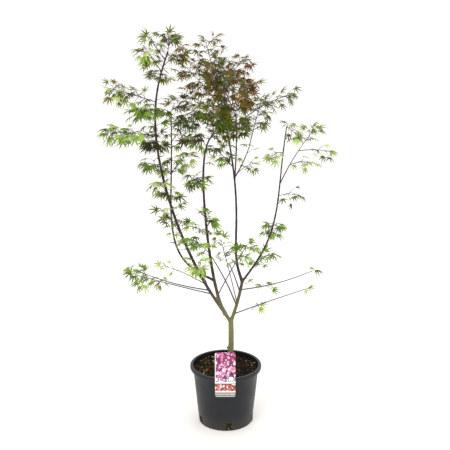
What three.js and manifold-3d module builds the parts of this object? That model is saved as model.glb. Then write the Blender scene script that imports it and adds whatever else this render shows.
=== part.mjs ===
// A young japanese maple in a round nursery pot: pot, soil, plant label, trunk, limbs and sprays of leaves.
// Millimetres, +Z up. The origin is the centre of the pot's flat underside; the label hangs on the -Y side.

import * as THREE from "three";
import { mergeVertices } from "three/addons/utils/BufferGeometryUtils.js";
import Module from "manifold-3d";

const wasm = await Module();
wasm.setup();

// ---- Driving dimensions --------------------------------------------------------------------------------

const clear = 0.3; // gap between two pieces that meet
const segments = 32; // round the pot and the soil

const pot = {
  height: 238.5,
  rimRadius: 141.5,
  mouthRadius: 128,
  lipHeight: 17,
  lipStep: 12.5,
  baseRadius: 107,
  baseChamfer: 3,
  wall: 2.6,
};
const drain = { count: 5, width: 25, low: 5, high: 34, depth: 16, firstAngle: 6 };
const lip = { under: 2, foot: 7, round: 4, mouth: 3 }; // the slopes and roundings of the pot's lip
const soil = { top: 226, dip: 4, dipShare: 0.6, mound: 32 };
const label = { width: 78, height: 184, thick: 1.2, corner: 7, middle: -2, bottom: 166 };
const tongue = { width: 30, thick: 1.2, drop: 11, inset: 1.5 };

// The trunk rises from the soil to its fork and widens over the root flare at its foot.
const trunk = { foot: [16, 0, soil.top], tip: [20, 0, 421], bow: [3, 0, 0], widths: [24, 20], sides: 10 };
const flare = { widening: 0.5, share: 0.22 };
const trunkSteps = 9;
const stub = { height: 292, reach: 23, lean: 38, widths: [8, 6.2] };

// Limbs. Each row: name, what it grows from and how far up that (0 foot, 1 tip), the place of its own tip,
// how far its middle bows off the straight line, how far its halves sway apart, its widths at foot and tip.
const limbRows = [
  ["right_limb", "trunk", 0.98, [64, 10, 583], [4, 0, 0], [0, 0, 0], [13.5, 12]],
  ["left_limb", "trunk", 0.98, [-206, -20, 1458], [-120, -50, 0], [20, -5, -42], [13.5, 6]],
  ["middle_limb", "left_limb", 0.045, [-44, -130, 1180], [-50, 5, 10], [10, -5, -70], [15, 5]],
  ["outer_limb", "middle_limb", 0.29, [-210, 150, 1220], [-84, 40, -110], [-18, 10, -22], [9.5, 4.8]],
  ["centre_limb", "right_limb", 0.98, [-30, 90, 1322], [24, 0, -145], [-16, 0, 6], [11.5, 6]],
  ["centre_front_limb", "centre_limb", 0.69, [36, -60, 1255], [4, 0, 0], [0, 0, 0], [6.4, 4.4]],
  ["centre_back_limb", "centre_limb", 0.7, [93, 140, 1091], [4, 0, -2], [0, 0, 0], [5.5, 3.8]],
  ["right_bough", "right_limb", 0.98, [214, -130, 1206], [50, 17, -10], [10, -4, -6], [9, 4.4]],
  ["right_outer_limb", "right_bough", 0.65, [290, 30, 1118], [-4, 0, 2], [0, 0, 0], [5, 3]],
];
const limbSides = 6;
const limbStep = 95; // length between two rings of a limb
const pathSteps = 6; // pieces of a spray's stem when distances to it are measured

// Sprays. Each row: name, the limb it grows from and how far up that, the place of its own tip, the leafless
// share of its stem, its pairs of side twigs, their length, the length of a leaf blade,
// the rise of its middle.
const sprayRows = [
  ["top_left_spray", "left_limb", 1, [-202, -10, 1507], 0.1, 2, 36, 54, 0],
  ["left_tip_spray", "left_limb", 0.96, [-268, -70, 1507], 0.3, 2, 28, 56, 0],
  ["left_shoulder_spray", "left_limb", 0.91, [-281, -100, 1462], 0.3, 3, 0, 58, 6],
  ["left_inner_spray", "left_limb", 0.93, [-159, -40, 1450], 0.3, 3, 0, 56, 8],
  ["upper_arm_spray", "left_limb", 0.79, [-405, -60, 1329], 0.15, 4, 0, 60, 2],
  ["left_face_spray", "left_limb", 0.745, [-312, -120, 1263], 0.3, 3, 0, 60, 8],
  ["lower_arm_spray", "left_limb", 0.675, [-428, 40, 1154], 0.35, 4, 0, 62, 6],
  ["left_front_spray", "left_limb", 0.65, [-259, -150, 1158], 0.3, 3, 0, 60, 6],
  ["left_low_front_spray", "left_limb", 0.58, [-270, -130, 1072], 0.3, 3, 0, 56, 6],
  ["left_low_spray", "left_limb", 0.48, [-232, -140, 1001], 0.3, 3, 0, 54, 6],
  ["left_knee_spray", "left_limb", 0.38, [-238, 20, 859], 0.4, 2, 0, 54, 4],
  ["outer_top_spray", "outer_limb", 1, [-145, 190, 1265], 0.1, 2, 40, 60, 0],
  ["outer_inner_spray", "outer_limb", 0.925, [-135, 130, 1200], 0.3, 3, 0, 60, 6],
  ["outer_back_spray", "outer_limb", 0.86, [-170, 300, 1120], 0.3, 2, 38, 60, 8],
  ["outer_low_spray", "outer_limb", 0.72, [-151, 160, 1048], 0.3, 3, 0, 58, 6],
  ["middle_tip_spray", "middle_limb", 1, [-45, -180, 1265], 0.1, 3, 42, 60, 0],
  ["middle_top_spray", "middle_limb", 0.93, [-115, -190, 1165], 0.35, 3, 0, 58, 6],
  ["middle_left_spray", "middle_limb", 0.67, [-114, -140, 1012], 0.4, 3, 0, 58, 6],
  ["middle_low_spray", "middle_limb", 0.47, [-123, -130, 839], 0.35, 3, 0, 54, 6],
  ["middle_right_spray", "middle_limb", 0.5, [-65, -130, 872], 0.35, 3, 0, 56, 6],
  ["middle_foot_spray", "middle_limb", 0.4, [-119, -140, 792], 0.4, 3, 0, 58, 6],
  ["upright_spray", "left_limb", 0.165, [-102, -140, 708], 0.75, 2, 0, 54, 0],
  ["low_side_spray", "left_limb", 0.2, [-235, 30, 636], 0.6, 3, 0, 52, 6],
  ["low_left_spray", "left_limb", 0.155, [-328, -160, 665], 0.6, 2, 26, 54, -2],
  ["low_left_back_spray", "left_limb", 0.172, [-373, 150, 583], 0.6, 2, 26, 56, -12],
  ["low_front_spray", "left_limb", 0.125, [76, -170, 782], 0.65, 3, 0, 54, 8],
  ["inner_back_spray", "right_limb", 0.45, [-20, 150, 705], 0.6, 3, 0, 56, 8],
  ["low_right_spray", "right_bough", 0.03, [172, 150, 645], 0.4, 3, 0, 56, 8],
  ["long_right_back_spray", "right_limb", 0.78, [350, 170, 568], 0.02, 1, 0, 42, -12],
  ["long_right_front_spray", "right_limb", 0.19, [295, -150, 607], 0.02, 1, 0, 42, 2],
  ["right_low_spray", "right_bough", 0.43, [179, 60, 765], 0.3, 3, 0, 54, 4],
  ["right_middle_spray", "right_bough", 0.58, [250, -110, 955], 0.3, 3, 0, 50, 4],
  ["fork_left_spray", "centre_limb", 0.74, [-43, -30, 1111], 0.35, 3, 0, 52, 4],
  ["crown_top_spray", "centre_limb", 1, [-74, 130, 1477], 0.1, 3, 50, 60, 0],
  ["crown_right_spray", "centre_limb", 0.97, [59, 40, 1422], 0.25, 3, 48, 60, 8],
  ["crown_left_spray", "centre_limb", 0.925, [-142, 50, 1392], 0.25, 3, 36, 60, 8],
  ["crown_back_spray", "centre_limb", 0.875, [-10, 280, 1355], 0.25, 3, 50, 60, 10],
  ["crown_front_spray", "centre_front_limb", 0.9, [-45, -120, 1410], 0.25, 3, 48, 60, 8],
  ["crown_face_spray", "centre_front_limb", 1, [67, -100, 1341], 0.1, 3, 46, 60, 0],
  ["fork_right_spray", "centre_back_limb", 0.15, [105, 130, 1020], 0.4, 2, 0, 52, 6],
  ["arching_spray", "centre_front_limb", 0.8, [230, 0, 1300], 0.3, 4, 0, 54, 15],
  ["back_right_spray", "centre_back_limb", 0.95, [140, 200, 1256], 0.25, 3, 40, 60, 10],
  ["right_front_spray", "right_bough", 0.84, [161, -180, 1110], 0.35, 3, 0, 52, 6],
  ["right_tip_spray", "right_bough", 1, [246, -150, 1183], 0.1, 3, 0, 52, 0],
  ["right_outer_spray", "right_outer_limb", 1, [330, 60, 1162], 0.1, 3, 0, 56, 0],
  ["right_edge_spray", "right_outer_limb", 0.8, [380, -20, 1095], 0.35, 3, 0, 52, 6],
  ["right_hanging_spray", "right_outer_limb", 0.45, [295, -120, 1075], 0.35, 3, 0, 50, 6],
];

// How a spray grows: side twigs leave the stem in pairs, each pair a quarter turn on from the last, and carry
// their leaves at their tips.
const growth = {
  seed: 11,
  stemWidths: [6.4, 5],
  twigWidths: [3, 2.8],
  stemStep: 60,
  pairPlace: 0.3, // where a pair stands in its share of the stem
  twigShares: [0.8, 1.1],
  leafShares: [0.85, 1.08],
  fork: 52, // angle between a twig and its stem
  forkSpread: 8,
  turnSpread: 20,
  leafFork: 46, // angle between a twig and the leaves beside its tip
  hang: [0.1, 1.3], // how far a leaf drops for each unit that it reaches out
  roll: 40,
  stalk: 17,
  stagger: 4, // between the two twigs or leaves of a pair, along what they grow from
  sink: 2,
  attempts: 3,
  rootVolume: 2.5,
  margin: 3, // kept to the space of the next spray
  limbClearance: 4, // kept to a limb's bark
};

// A leaf: five pointed lobes round the end of its stalk.
// Each point: angle off the midrib, share of the blade.
const leafOutline = [
  [140, 0.09],
  [103, 0.62],
  [76, 0.32],
  [51, 0.88],
  [25, 0.36],
  [0, 1],
];
const leafShape = { thick: 3.2, droop: 0.14, heart: 0.05 };

// ---- Geometry helpers ----------------------------------------------------------------------------------

const up = new THREE.Vector3(0, 0, 1);
const vector = ([x, y, z]) => new THREE.Vector3(x, y, z);
const radians = THREE.MathUtils.degToRad;

function solidOf(geometry) {
  geometry.deleteAttribute("normal");
  geometry.deleteAttribute("uv");
  const merged = mergeVertices(geometry, 1e-4);
  const vertProperties = new Float32Array(merged.attributes.position.array);
  const triVerts = new Uint32Array(merged.index.array);
  return new wasm.Manifold(new wasm.Mesh({ numProp: 3, vertProperties, triVerts }));
}

// The largest body alone, so that no scrap and no sealed hollow is left.
function geometryOf(solid) {
  const bodies = solid.decompose().sort((a, b) => b.volume() - a.volume());
  const mesh = bodies[0].getMesh();
  const geometry = new THREE.BufferGeometry();
  geometry.setAttribute("position", new THREE.BufferAttribute(new Float32Array(mesh.vertProperties), 3));
  geometry.setIndex(new THREE.BufferAttribute(new Uint32Array(mesh.triVerts), 1));
  geometry.computeVertexNormals();
  return geometry;
}

function closedGeometry(points, faces) {
  const geometry = new THREE.BufferGeometry();
  geometry.setAttribute("position", new THREE.Float32BufferAttribute(points.flatMap((p) => p.toArray()), 3));
  geometry.setIndex(faces.flat());
  return geometry;
}

// The line from a foot to a tip, with its middle bowed off it and its halves swayed apart.
class BowedLine extends THREE.Curve {
  constructor(foot, tip, bow = new THREE.Vector3(), sway = new THREE.Vector3()) {
    super();
    this.foot = foot;
    this.tip = tip;
    this.bow = bow;
    this.sway = sway;
  }

  getPoint(t, target = new THREE.Vector3()) {
    target.copy(this.foot).lerp(this.tip, t);
    target.addScaledVector(this.bow, Math.sin(Math.PI * t));
    return target.addScaledVector(this.sway, Math.sin(2 * Math.PI * t));
  }
}

// A closed tube round a curve: `radiusAt` gives its radius along it, `over` how far its ends reach past it.
function tube(curve, radiusAt, steps, sides, over = 0) {
  const frames = curve.computeFrenetFrames(steps, false);
  const points = [];
  const faces = [];
  for (let step = 0; step <= steps; step++) {
    const share = step / steps;
    const centre = curve.getPoint(share);
    const overhang = step === 0 ? -over : step === steps ? over : 0;
    centre.addScaledVector(frames.tangents[step], overhang);
    for (let side = 0; side < sides; side++) {
      const angle = (2 * Math.PI * side) / sides;
      const point = centre.clone();
      point.addScaledVector(frames.normals[step], radiusAt(share) * Math.cos(angle));
      point.addScaledVector(frames.binormals[step], radiusAt(share) * Math.sin(angle));
      points.push(point);
    }
  }
  for (let step = 0; step < steps; step++) {
    for (let side = 0; side < sides; side++) {
      const a = step * sides + side;
      const b = step * sides + ((side + 1) % sides);
      faces.push([a, b, b + sides], [a, b + sides, a + sides]);
    }
  }
  const last = steps * sides;
  for (let side = 1; side < sides - 1; side++) {
    faces.push([0, side + 1, side], [last, last + side, last + side + 1]);
  }
  return closedGeometry(points, faces);
}

const taper = ([foot, tip]) => (t) => THREE.MathUtils.lerp(foot, tip, t) / 2;

function distanceToSegment(point, a, b) {
  const along = b.clone().sub(a);
  const t = THREE.MathUtils.clamp(point.clone().sub(a).dot(along) / along.lengthSq(), 0, 1);
  return point.distanceTo(a.clone().addScaledVector(along, t));
}

function distanceToPath(point, path) {
  let nearest = Infinity;
  for (let i = 0; i + 1 < path.length; i++) {
    nearest = Math.min(nearest, distanceToSegment(point, path[i], path[i + 1]));
  }
  return nearest;
}

// ---- Pot, soil and label -------------------------------------------------------------------------------

// The outer wall's radius under the lip, at a height.
function outerRadius(z) {
  const underLip = pot.rimRadius - pot.lipStep;
  return THREE.MathUtils.mapLinear(z, 0, pot.height - pot.lipHeight, pot.baseRadius, underLip);
}

const innerRadius = (z) => outerRadius(z) - pot.wall;

function turned(profile) {
  const points = profile.map(([radius, z]) => new THREE.Vector2(radius, z));
  const geometry = new THREE.LatheGeometry(points, segments);
  geometry.rotateX(Math.PI / 2);
  return solidOf(geometry);
}

function makePot() {
  const top = pot.height;
  const shoulder = top - pot.lipHeight;
  const body = turned([
    [0, 0],
    [pot.baseRadius - pot.baseChamfer, 0],
    [pot.baseRadius, pot.baseChamfer],
    [outerRadius(shoulder), shoulder],
    [pot.rimRadius - lip.mouth, shoulder + lip.under],
    [pot.rimRadius, shoulder + lip.foot],
    [pot.rimRadius, top - lip.round],
    [pot.rimRadius - lip.round, top],
    [pot.mouthRadius + lip.mouth, top],
    [pot.mouthRadius, top - lip.mouth],
    [innerRadius(shoulder), shoulder],
    [innerRadius(pot.wall), pot.wall],
    [0, pot.wall],
  ]);
  const holes = [];
  for (let i = 0; i < drain.count; i++) {
    const box = new THREE.BoxGeometry(drain.width, 2 * drain.depth, drain.high - drain.low);
    box.translate(0, -pot.baseRadius, (drain.low + drain.high) / 2);
    box.rotateZ(radians(drain.firstAngle + (360 * i) / drain.count));
    holes.push(solidOf(box));
  }
  return body.subtract(wasm.Manifold.union(holes));
}

function makeSoil() {
  const floor = pot.wall + clear;
  return turned([
    [0, floor],
    [innerRadius(floor) - clear, floor],
    [innerRadius(soil.top) - clear, soil.top],
    [innerRadius(soil.top) * soil.dipShare, soil.top - soil.dip],
    [soil.mound, soil.top],
    [0, soil.top],
  ]);
}

// A card with round corners, and the tongue behind it that hooks over the rim.
function makeLabel() {
  const half = label.width / 2;
  const high = label.height / 2;
  const r = label.corner;
  const outline = new THREE.Shape();
  outline.moveTo(-half + r, -high);
  outline.lineTo(half - r, -high);
  outline.absarc(half - r, -high + r, r, -Math.PI / 2, 0);
  outline.lineTo(half, high - r);
  outline.absarc(half - r, high - r, r, 0, Math.PI / 2);
  outline.lineTo(-half + r, high);
  outline.absarc(-half + r, high - r, r, Math.PI / 2, Math.PI);
  outline.lineTo(-half, -high + r);
  outline.absarc(-half + r, -high + r, r, Math.PI, 1.5 * Math.PI);
  const options = { depth: label.thick, bevelEnabled: false, curveSegments: 3 };
  const card = new THREE.ExtrudeGeometry(outline, options);
  card.rotateX(Math.PI / 2);
  const back = -pot.rimRadius - clear;
  card.translate(label.middle, back, label.bottom + high);

  const inside = -innerRadius(pot.height - pot.lipHeight) + tongue.inset;
  const rimTop = pot.height + clear;
  const hook = new THREE.Shape();
  hook.moveTo(back - label.thick / 2, rimTop);
  hook.lineTo(inside, rimTop);
  hook.lineTo(inside, pot.height - tongue.drop);
  hook.lineTo(inside + tongue.thick, pot.height - tongue.drop);
  hook.lineTo(inside + tongue.thick, rimTop + tongue.thick);
  hook.lineTo(back - label.thick / 2, rimTop + tongue.thick);
  const strip = new THREE.ExtrudeGeometry(hook, { depth: tongue.width, bevelEnabled: false });
  strip.rotateX(Math.PI / 2);
  strip.rotateZ(Math.PI / 2);
  strip.translate(label.middle - tongue.width / 2, 0, 0);
  return solidOf(card).add(solidOf(strip));
}

// ---- Trunk and limbs -----------------------------------------------------------------------------------

const colours = { bark: 0x7d7a4a, limb: 0x5a3f45 };
const wood = {}; // the curve, sampled path, radius and grown solid of each limb, by name

function addWood(name, curve, radiusAt, steps, sides) {
  const path = [];
  for (let i = 0; i <= 2 * steps; i++) {
    path.push(curve.getPoint(i / (2 * steps)));
  }
  const allowance = clear / Math.cos(Math.PI / sides);
  const grown = solidOf(tube(curve, (t) => radiusAt(t) + allowance, steps, sides, clear));
  wood[name] = { curve, path, radiusAt, grown };
  return solidOf(tube(curve, radiusAt, steps, sides));
}

// What stays of a solid once it is cut clear of every limb made so far, apart from the one named.
function cutClear(solid, except) {
  const others = Object.keys(wood).filter((name) => name !== except);
  return others.reduce((rest, name) => rest.subtract(wood[name].grown), solid);
}

function makeTrunk() {
  const foot = vector(trunk.foot);
  const curve = new BowedLine(foot, vector(trunk.tip), vector(trunk.bow));
  const plain = taper(trunk.widths);
  const radiusAt = (t) => plain(t) * (1 + flare.widening * Math.max(0, 1 - t / flare.share) ** 2);
  const stem = addWood("trunk", curve, radiusAt, trunkSteps, trunk.sides);
  const lean = radians(stub.lean);
  const stubFoot = curve.getPoint((stub.height - soil.top) / (trunk.tip[2] - soil.top));
  const stubHeading = new THREE.Vector3(-Math.sin(lean), 0, Math.cos(lean));
  const stubLine = new BowedLine(stubFoot, stubFoot.clone().addScaledVector(stubHeading, stub.reach));
  const joined = stem.add(solidOf(tube(stubLine, taper(stub.widths), 1, limbSides)));
  const ground = new THREE.BoxGeometry(pot.rimRadius, pot.rimRadius, pot.rimRadius);
  ground.translate(foot.x, foot.y, soil.top + clear - pot.rimRadius / 2);
  return joined.subtract(solidOf(ground));
}

function makeLimb([name, parent, at, tip, bow, sway, widths]) {
  const foot = wood[parent].curve.getPoint(at);
  const curve = new BowedLine(foot, vector(tip), vector(bow), vector(sway));
  const steps = Math.max(2, Math.round(curve.getLength() / limbStep));
  return cutClear(addWood(name, curve, taper(widths), steps, limbSides), name);
}

// ---- Sprays --------------------------------------------------------------------------------------------

function seeded(seed) {
  let state = seed >>> 0;
  return (low = 0, high = 1) => {
    state = (Math.imul(1664525, state) + 1013904223) >>> 0;
    return low + ((high - low) * state) / 2 ** 32;
  };
}

// A leaf's points in its own frame: the stalk's root at the origin, the blade along +Y, its face along +Z.
// They are the rim from the root round to the root, then the two ends of the blade's thickness at its heart.
function leafPoints(blade) {
  const right = leafOutline.map(([angle, share]) => {
    const reach = share * blade;
    const turn = radians(angle);
    const drop = -leafShape.droop * blade * share * share;
    return new THREE.Vector3(reach * Math.sin(turn), growth.stalk + reach * Math.cos(turn), drop);
  });
  const left = right.slice(0, -1).reverse().map((p) => new THREE.Vector3(-p.x, p.y, p.z));
  const heart = growth.stalk + leafShape.heart * blade;
  const top = new THREE.Vector3(0, heart, leafShape.thick / 2);
  const bottom = new THREE.Vector3(0, heart, -leafShape.thick / 2);
  return [new THREE.Vector3(0, -growth.sink, 0), ...right, ...left, top, bottom];
}

function leafGeometry(points) {
  const rim = points.length - 2;
  const faces = [];
  for (let i = 0; i < rim; i++) {
    const next = (i + 1) % rim;
    faces.push([i, next, rim], [next, i, rim + 1]);
  }
  return closedGeometry(points, faces);
}

// The frame of a leaf that heads one way from its root, hangs, and rolls about its stalk.
function leafMatrix(root, heading, hang, roll) {
  const along = heading.clone().addScaledVector(up, -hang).normalize();
  const across = new THREE.Vector3().crossVectors(along, up).normalize();
  const face = new THREE.Vector3().crossVectors(across, along);
  const matrix = new THREE.Matrix4().makeBasis(across, along, face);
  matrix.multiply(new THREE.Matrix4().makeRotationY(roll));
  return matrix.setPosition(root);
}

// A direction turned towards another that is square to it.
function turnedTo(direction, other, angle) {
  const turn = radians(angle);
  return direction.clone().multiplyScalar(Math.cos(turn)).addScaledVector(other, Math.sin(turn));
}

// Two unit vectors square to a direction, the first one level.
function sideways(direction) {
  const level = new THREE.Vector3().crossVectors(direction, up).normalize();
  return [level, new THREE.Vector3().crossVectors(level, direction)];
}

const sprays = sprayRows.map(([name, limb, at, tip, bare, pairs, twig, leaf, rise]) => ({
  name,
  limb,
  at,
  tip: vector(tip),
  bare,
  pairs,
  twig,
  leaf,
  rise,
  reach: twig + growth.leafShares[1] * (growth.stalk + leaf),
}));

function layOutStem(spray) {
  const foot = wood[spray.limb].curve.getPoint(spray.at);
  spray.curve = new BowedLine(foot, spray.tip, new THREE.Vector3(0, 0, spray.rise));
  spray.length = spray.curve.getLength();
  spray.path = [];
  for (let i = 0; i <= pathSteps; i++) {
    spray.path.push(spray.curve.getPoint(i / pathSteps));
  }
}

// A spray keeps to its own space: within reach of its stem, nearer to it than to any other spray's stem, and
// off the bark of every limb.
function keepsToSpace(points, spray) {
  return points.every((point) => {
    const own = distanceToPath(point, spray.path);
    if (own > spray.reach) {
      return false;
    }
    const others = sprays.every((s) => s === spray || distanceToPath(point, s.path) > own + growth.margin);
    return others && Object.values(wood).every(({ path, radiusAt }) => {
      return distanceToPath(point, path) > radiusAt(0) + growth.limbClearance;
    });
  });
}

// The shoots of a spray, its stem first, and the sites where a leaf may grow: a root and a heading.
function layOutShoots(spray, random) {
  const steps = Math.ceil(spray.length / growth.stemStep);
  const shoots = [{ curve: spray.curve, widths: growth.stemWidths, steps }];
  const sites = [];

  // Leaves at the end of a shoot: one on each side, a little apart, and one that heads straight on.
  function addTuft(tip, heading) {
    const [level] = sideways(heading);
    for (const side of [-1, 1]) {
      const root = tip.clone().addScaledVector(heading, -growth.stagger * (1.5 + side / 2));
      sites.push({ root, heading: turnedTo(heading, level, side * growth.leafFork) });
    }
    sites.push({ root: tip.clone().addScaledVector(heading, -growth.stagger / 2), heading });
  }

  for (let pair = 0; pair < spray.pairs; pair++) {
    const station = spray.bare + ((1 - spray.bare) * (pair + growth.pairPlace)) / spray.pairs;
    const turn = (pair % 2) * 90 + random(-growth.turnSpread, growth.turnSpread);
    for (const side of [-1, 1]) {
      const t = station + (side * growth.stagger) / spray.length / 2;
      const root = spray.curve.getPoint(t);
      const along = spray.curve.getTangent(t);
      const [level, lift] = sideways(along);
      const out = turnedTo(level.multiplyScalar(side), lift.multiplyScalar(side), turn);
      const heading = turnedTo(along, out, growth.fork + random(-growth.forkSpread, growth.forkSpread));
      const tip = root.clone().addScaledVector(heading, spray.twig * random(...growth.twigShares));
      if (spray.twig === 0) {
        sites.push({ root, heading });
      } else if (keepsToSpace([root.clone().lerp(tip, 0.5), tip], spray)) {
        shoots.push({ curve: new BowedLine(root, tip), widths: growth.twigWidths, steps: 1 });
        addTuft(tip, heading);
      }
    }
  }
  addTuft(spray.tip, spray.curve.getTangent(1));
  return { shoots, sites };
}

// A leaf that would leave its spray's space, cross a shoot or touch another leaf is turned and tried again.
function growLeaf({ root, heading }, spray, random, stems, leaves) {
  for (let attempt = 0; attempt < growth.attempts; attempt++) {
    const hang = random(...growth.hang);
    const roll = radians(random(-growth.roll, growth.roll));
    const matrix = leafMatrix(root, heading, hang, roll);
    const points = leafPoints(spray.leaf * random(...growth.leafShares)).map((p) => p.applyMatrix4(matrix));
    if (!keepsToSpace(points.slice(2, -3), spray)) {
      continue;
    }
    const leaf = solidOf(leafGeometry(points));
    const crossing = leaf.intersect(stems).volume() > growth.rootVolume;
    if (!crossing && leaves.every((other) => leaf.intersect(other).isEmpty())) {
      leaves.push(leaf);
      return;
    }
  }
}

function growSpray(spray, index) {
  const random = seeded(growth.seed + index);
  const { shoots, sites } = layOutShoots(spray, random);
  const tubes = shoots.map(({ curve, widths, steps }) => solidOf(tube(curve, taper(widths), steps, 3)));
  const stems = wasm.Manifold.union(tubes);
  const leaves = [];
  sites.forEach((site) => growLeaf(site, spray, random, stems, leaves));
  return cutClear(wasm.Manifold.union([stems, ...leaves]));
}

// ---- The plant in its pot ------------------------------------------------------------------------------

const plant = new THREE.Group();

function addPiece(name, solid, colour, roughness = 0.7) {
  const material = new THREE.MeshStandardMaterial({ color: colour, roughness, metalness: 0 });
  const mesh = new THREE.Mesh(geometryOf(solid), material);
  mesh.name = name;
  plant.add(mesh);
}

addPiece("pot", makePot(), 0x2c2e31, 0.5);
addPiece("soil", makeSoil(), 0x2a1a10, 0.95);
addPiece("label", makeLabel(), 0xd98ab4, 0.4);
addPiece("trunk", makeTrunk(), colours.bark);
for (const row of limbRows) {
  addPiece(row[0], makeLimb(row), colours.limb);
}
sprays.forEach(layOutStem);
sprays.forEach((spray, index) => addPiece(spray.name, growSpray(spray, index), 0x5f8a33));

export default plant;
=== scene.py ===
# %% [markdown]
# # A potted japanese maple
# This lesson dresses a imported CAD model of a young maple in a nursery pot. The CAD solids say where every
# limb and every spray of leaves is. They could be shown as they are, but their leaves are few and thick, so
# each one is replaced here by finer wood, twigs and leaves in the same place.

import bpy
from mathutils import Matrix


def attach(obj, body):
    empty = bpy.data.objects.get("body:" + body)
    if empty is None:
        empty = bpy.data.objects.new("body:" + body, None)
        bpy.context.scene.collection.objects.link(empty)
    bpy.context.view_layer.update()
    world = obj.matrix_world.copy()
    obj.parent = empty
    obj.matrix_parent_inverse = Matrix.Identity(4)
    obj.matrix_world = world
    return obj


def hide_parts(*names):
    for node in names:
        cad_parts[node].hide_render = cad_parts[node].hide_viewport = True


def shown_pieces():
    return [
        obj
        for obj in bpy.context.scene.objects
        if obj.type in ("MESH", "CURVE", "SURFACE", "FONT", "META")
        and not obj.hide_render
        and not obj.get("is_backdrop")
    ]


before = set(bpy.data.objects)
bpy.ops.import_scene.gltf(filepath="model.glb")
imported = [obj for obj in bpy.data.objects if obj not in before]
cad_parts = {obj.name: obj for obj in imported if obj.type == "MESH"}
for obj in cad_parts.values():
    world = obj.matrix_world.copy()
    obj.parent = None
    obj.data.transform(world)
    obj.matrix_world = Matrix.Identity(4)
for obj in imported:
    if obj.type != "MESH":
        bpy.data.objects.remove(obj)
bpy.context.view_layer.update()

# %% [markdown]
# Everything is in metres, and sizes are easier to read in millimetres, so one constant turns the one into
# the other. A few named steps save many mistakes. `editing` stays in edit mode for as long as its block
# lasts.

# %% Units, and starting a piece
import math
from collections import namedtuple
from contextlib import contextmanager

import bmesh
import bpy
import numpy as np
from mathutils import Matrix, Vector

MM = 0.001


def only(obj):
    """Selects one object alone and makes it the active one."""
    bpy.ops.object.select_all(action="DESELECT")
    obj.select_set(True)
    bpy.context.view_layer.objects.active = obj


def named(name):
    """Names the object an operator has just made, and its mesh."""
    obj = bpy.context.view_layer.objects.active
    obj.name = name
    obj.data.name = name
    return obj


def started(primitive, name, **settings):
    """Adds a primitive with nothing else selected, and names it."""
    bpy.ops.object.select_all(action="DESELECT")
    primitive(**settings)
    return named(name)


def settle(obj):
    """Puts an object's place into its mesh, so that the object sits at the origin."""
    only(obj)
    bpy.ops.object.transform_apply(location=True, rotation=True, scale=True)


@contextmanager
def editing(action="SELECT"):
    """Edit mode on the active object, with everything selected to begin with, or nothing."""
    bpy.ops.object.mode_set(mode="EDIT")
    bpy.ops.mesh.select_all(action=action)
    yield
    bpy.ops.object.mode_set(mode="OBJECT")


print("a metre has", round(1 / MM), "millimetres")

# %% [markdown]
# ## The camera
# A plant in its pot is best seen from a standing person's height, a little from above, with a long lens
# that keeps the pot's sides straight. The camera could look at the plant by a constraint, but plain numbers
# for its place and its pitch are easier to trust. The lens covers the plant's height with a small margin.

# %% Camera
camera_data = bpy.data.cameras.new("view")
camera_data.sensor_width = 36
camera_data.lens = 69.12
camera = bpy.data.objects.new("view", camera_data)
camera.location = (-0.003, -3.150, 1.695)
camera.rotation_euler = (math.radians(74.3), 0, 0)
bpy.context.scene.collection.objects.link(camera)
bpy.context.scene.camera = camera
print("camera height", camera.location.z)

# %% [markdown]
# ## The floor and the light
# The plant stands in a white studio. A floor with a curved backdrop would do, but a camera that looks down
# sees hardly anything past a wide floor, so one large plane is enough. It has no relief, so it stays a
# single face. Its colour is nearly white with a little warmth, which only shows where the pot shades it.

# %% Floor
floor = started(bpy.ops.mesh.primitive_plane_add, "studio_floor", size=60, location=(0, 20, 0))
settle(floor)
floor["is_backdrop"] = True
print("floor", tuple(round(side, 1) for side in floor.dimensions))

# %% [markdown]
# Soft light comes from a white surround and from three large area lamps. One strong lamp would throw hard
# shadows of every leaf on the next one. Many weak ones cost time. A big lamp above the camera's left
# shoulder shapes the pot, a weaker one on the right fills it, and one behind lifts the leaves' edges.

# %% Lamps and surround
def area_lamp(name, place, aim, size, power, colour):
    """A square lamp at a place, turned to face another place."""
    data = bpy.data.lights.new(name, "AREA")
    data.shape = "SQUARE"
    data.size = size
    data.energy = power
    data.color = colour
    lamp = bpy.data.objects.new(name, data)
    lamp.location = place
    lamp.rotation_euler = (Vector(aim) - Vector(place)).to_track_quat("-Z", "Y").to_euler()
    bpy.context.scene.collection.objects.link(lamp)


area_lamp("key_lamp", (-1.6, -3.2, 3.2), (0, 0, 0.5), size=1.8, power=60, colour=(1, 0.99, 0.97))
area_lamp("fill_lamp", (2.6, -1.8, 2.4), (0, 0, 0.8), size=2.2, power=18, colour=(0.97, 0.985, 1))
area_lamp("back_lamp", (0.6, 2.8, 3.2), (0, 0, 0.9), size=2.0, power=22, colour=(1, 1, 1))
surround = bpy.data.worlds.new("studio_white")
surround.use_nodes = True
backdrop = surround.node_tree.nodes["Background"].inputs
backdrop["Color"].default_value = (1.02, 1, 0.985, 1)
backdrop["Strength"].default_value = 1.08
bpy.context.scene.world = surround
bpy.context.scene.view_settings.view_transform = "Standard"
print("lamps", [lamp.name for lamp in bpy.data.lights])

# %% [markdown]
# ## Finishes
# A finish is a Principled shader with a few patterns in front of it. Patterns that several finishes share
# are node groups, so that each is built once: `mottle` drifts a colour between a darker and a lighter one,
# and `grain` gives a height for a Bump node. Both read Object coordinates, which lie still on the piece.
# Nodes could be added and linked line by line. A helper that takes a node's inputs with it is shorter, and
# the kinds of node that come up again and again get a helper each.

# %% Helpers for nodes
COLOUR, FLOAT = "NodeSocketColor", "NodeSocketFloat"


def add_node(tree, kind, inputs=(), **settings):
    """Adds a node with its settings. Each input, by name or number, is given a socket or a value."""
    node = tree.nodes.new(kind)
    for key, value in settings.items():
        setattr(node, key, value)
    for key, value in inputs:
        if isinstance(value, bpy.types.NodeSocket):
            tree.links.new(value, node.inputs[key])
        else:
            node.inputs[key].default_value = value
    return node


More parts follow.
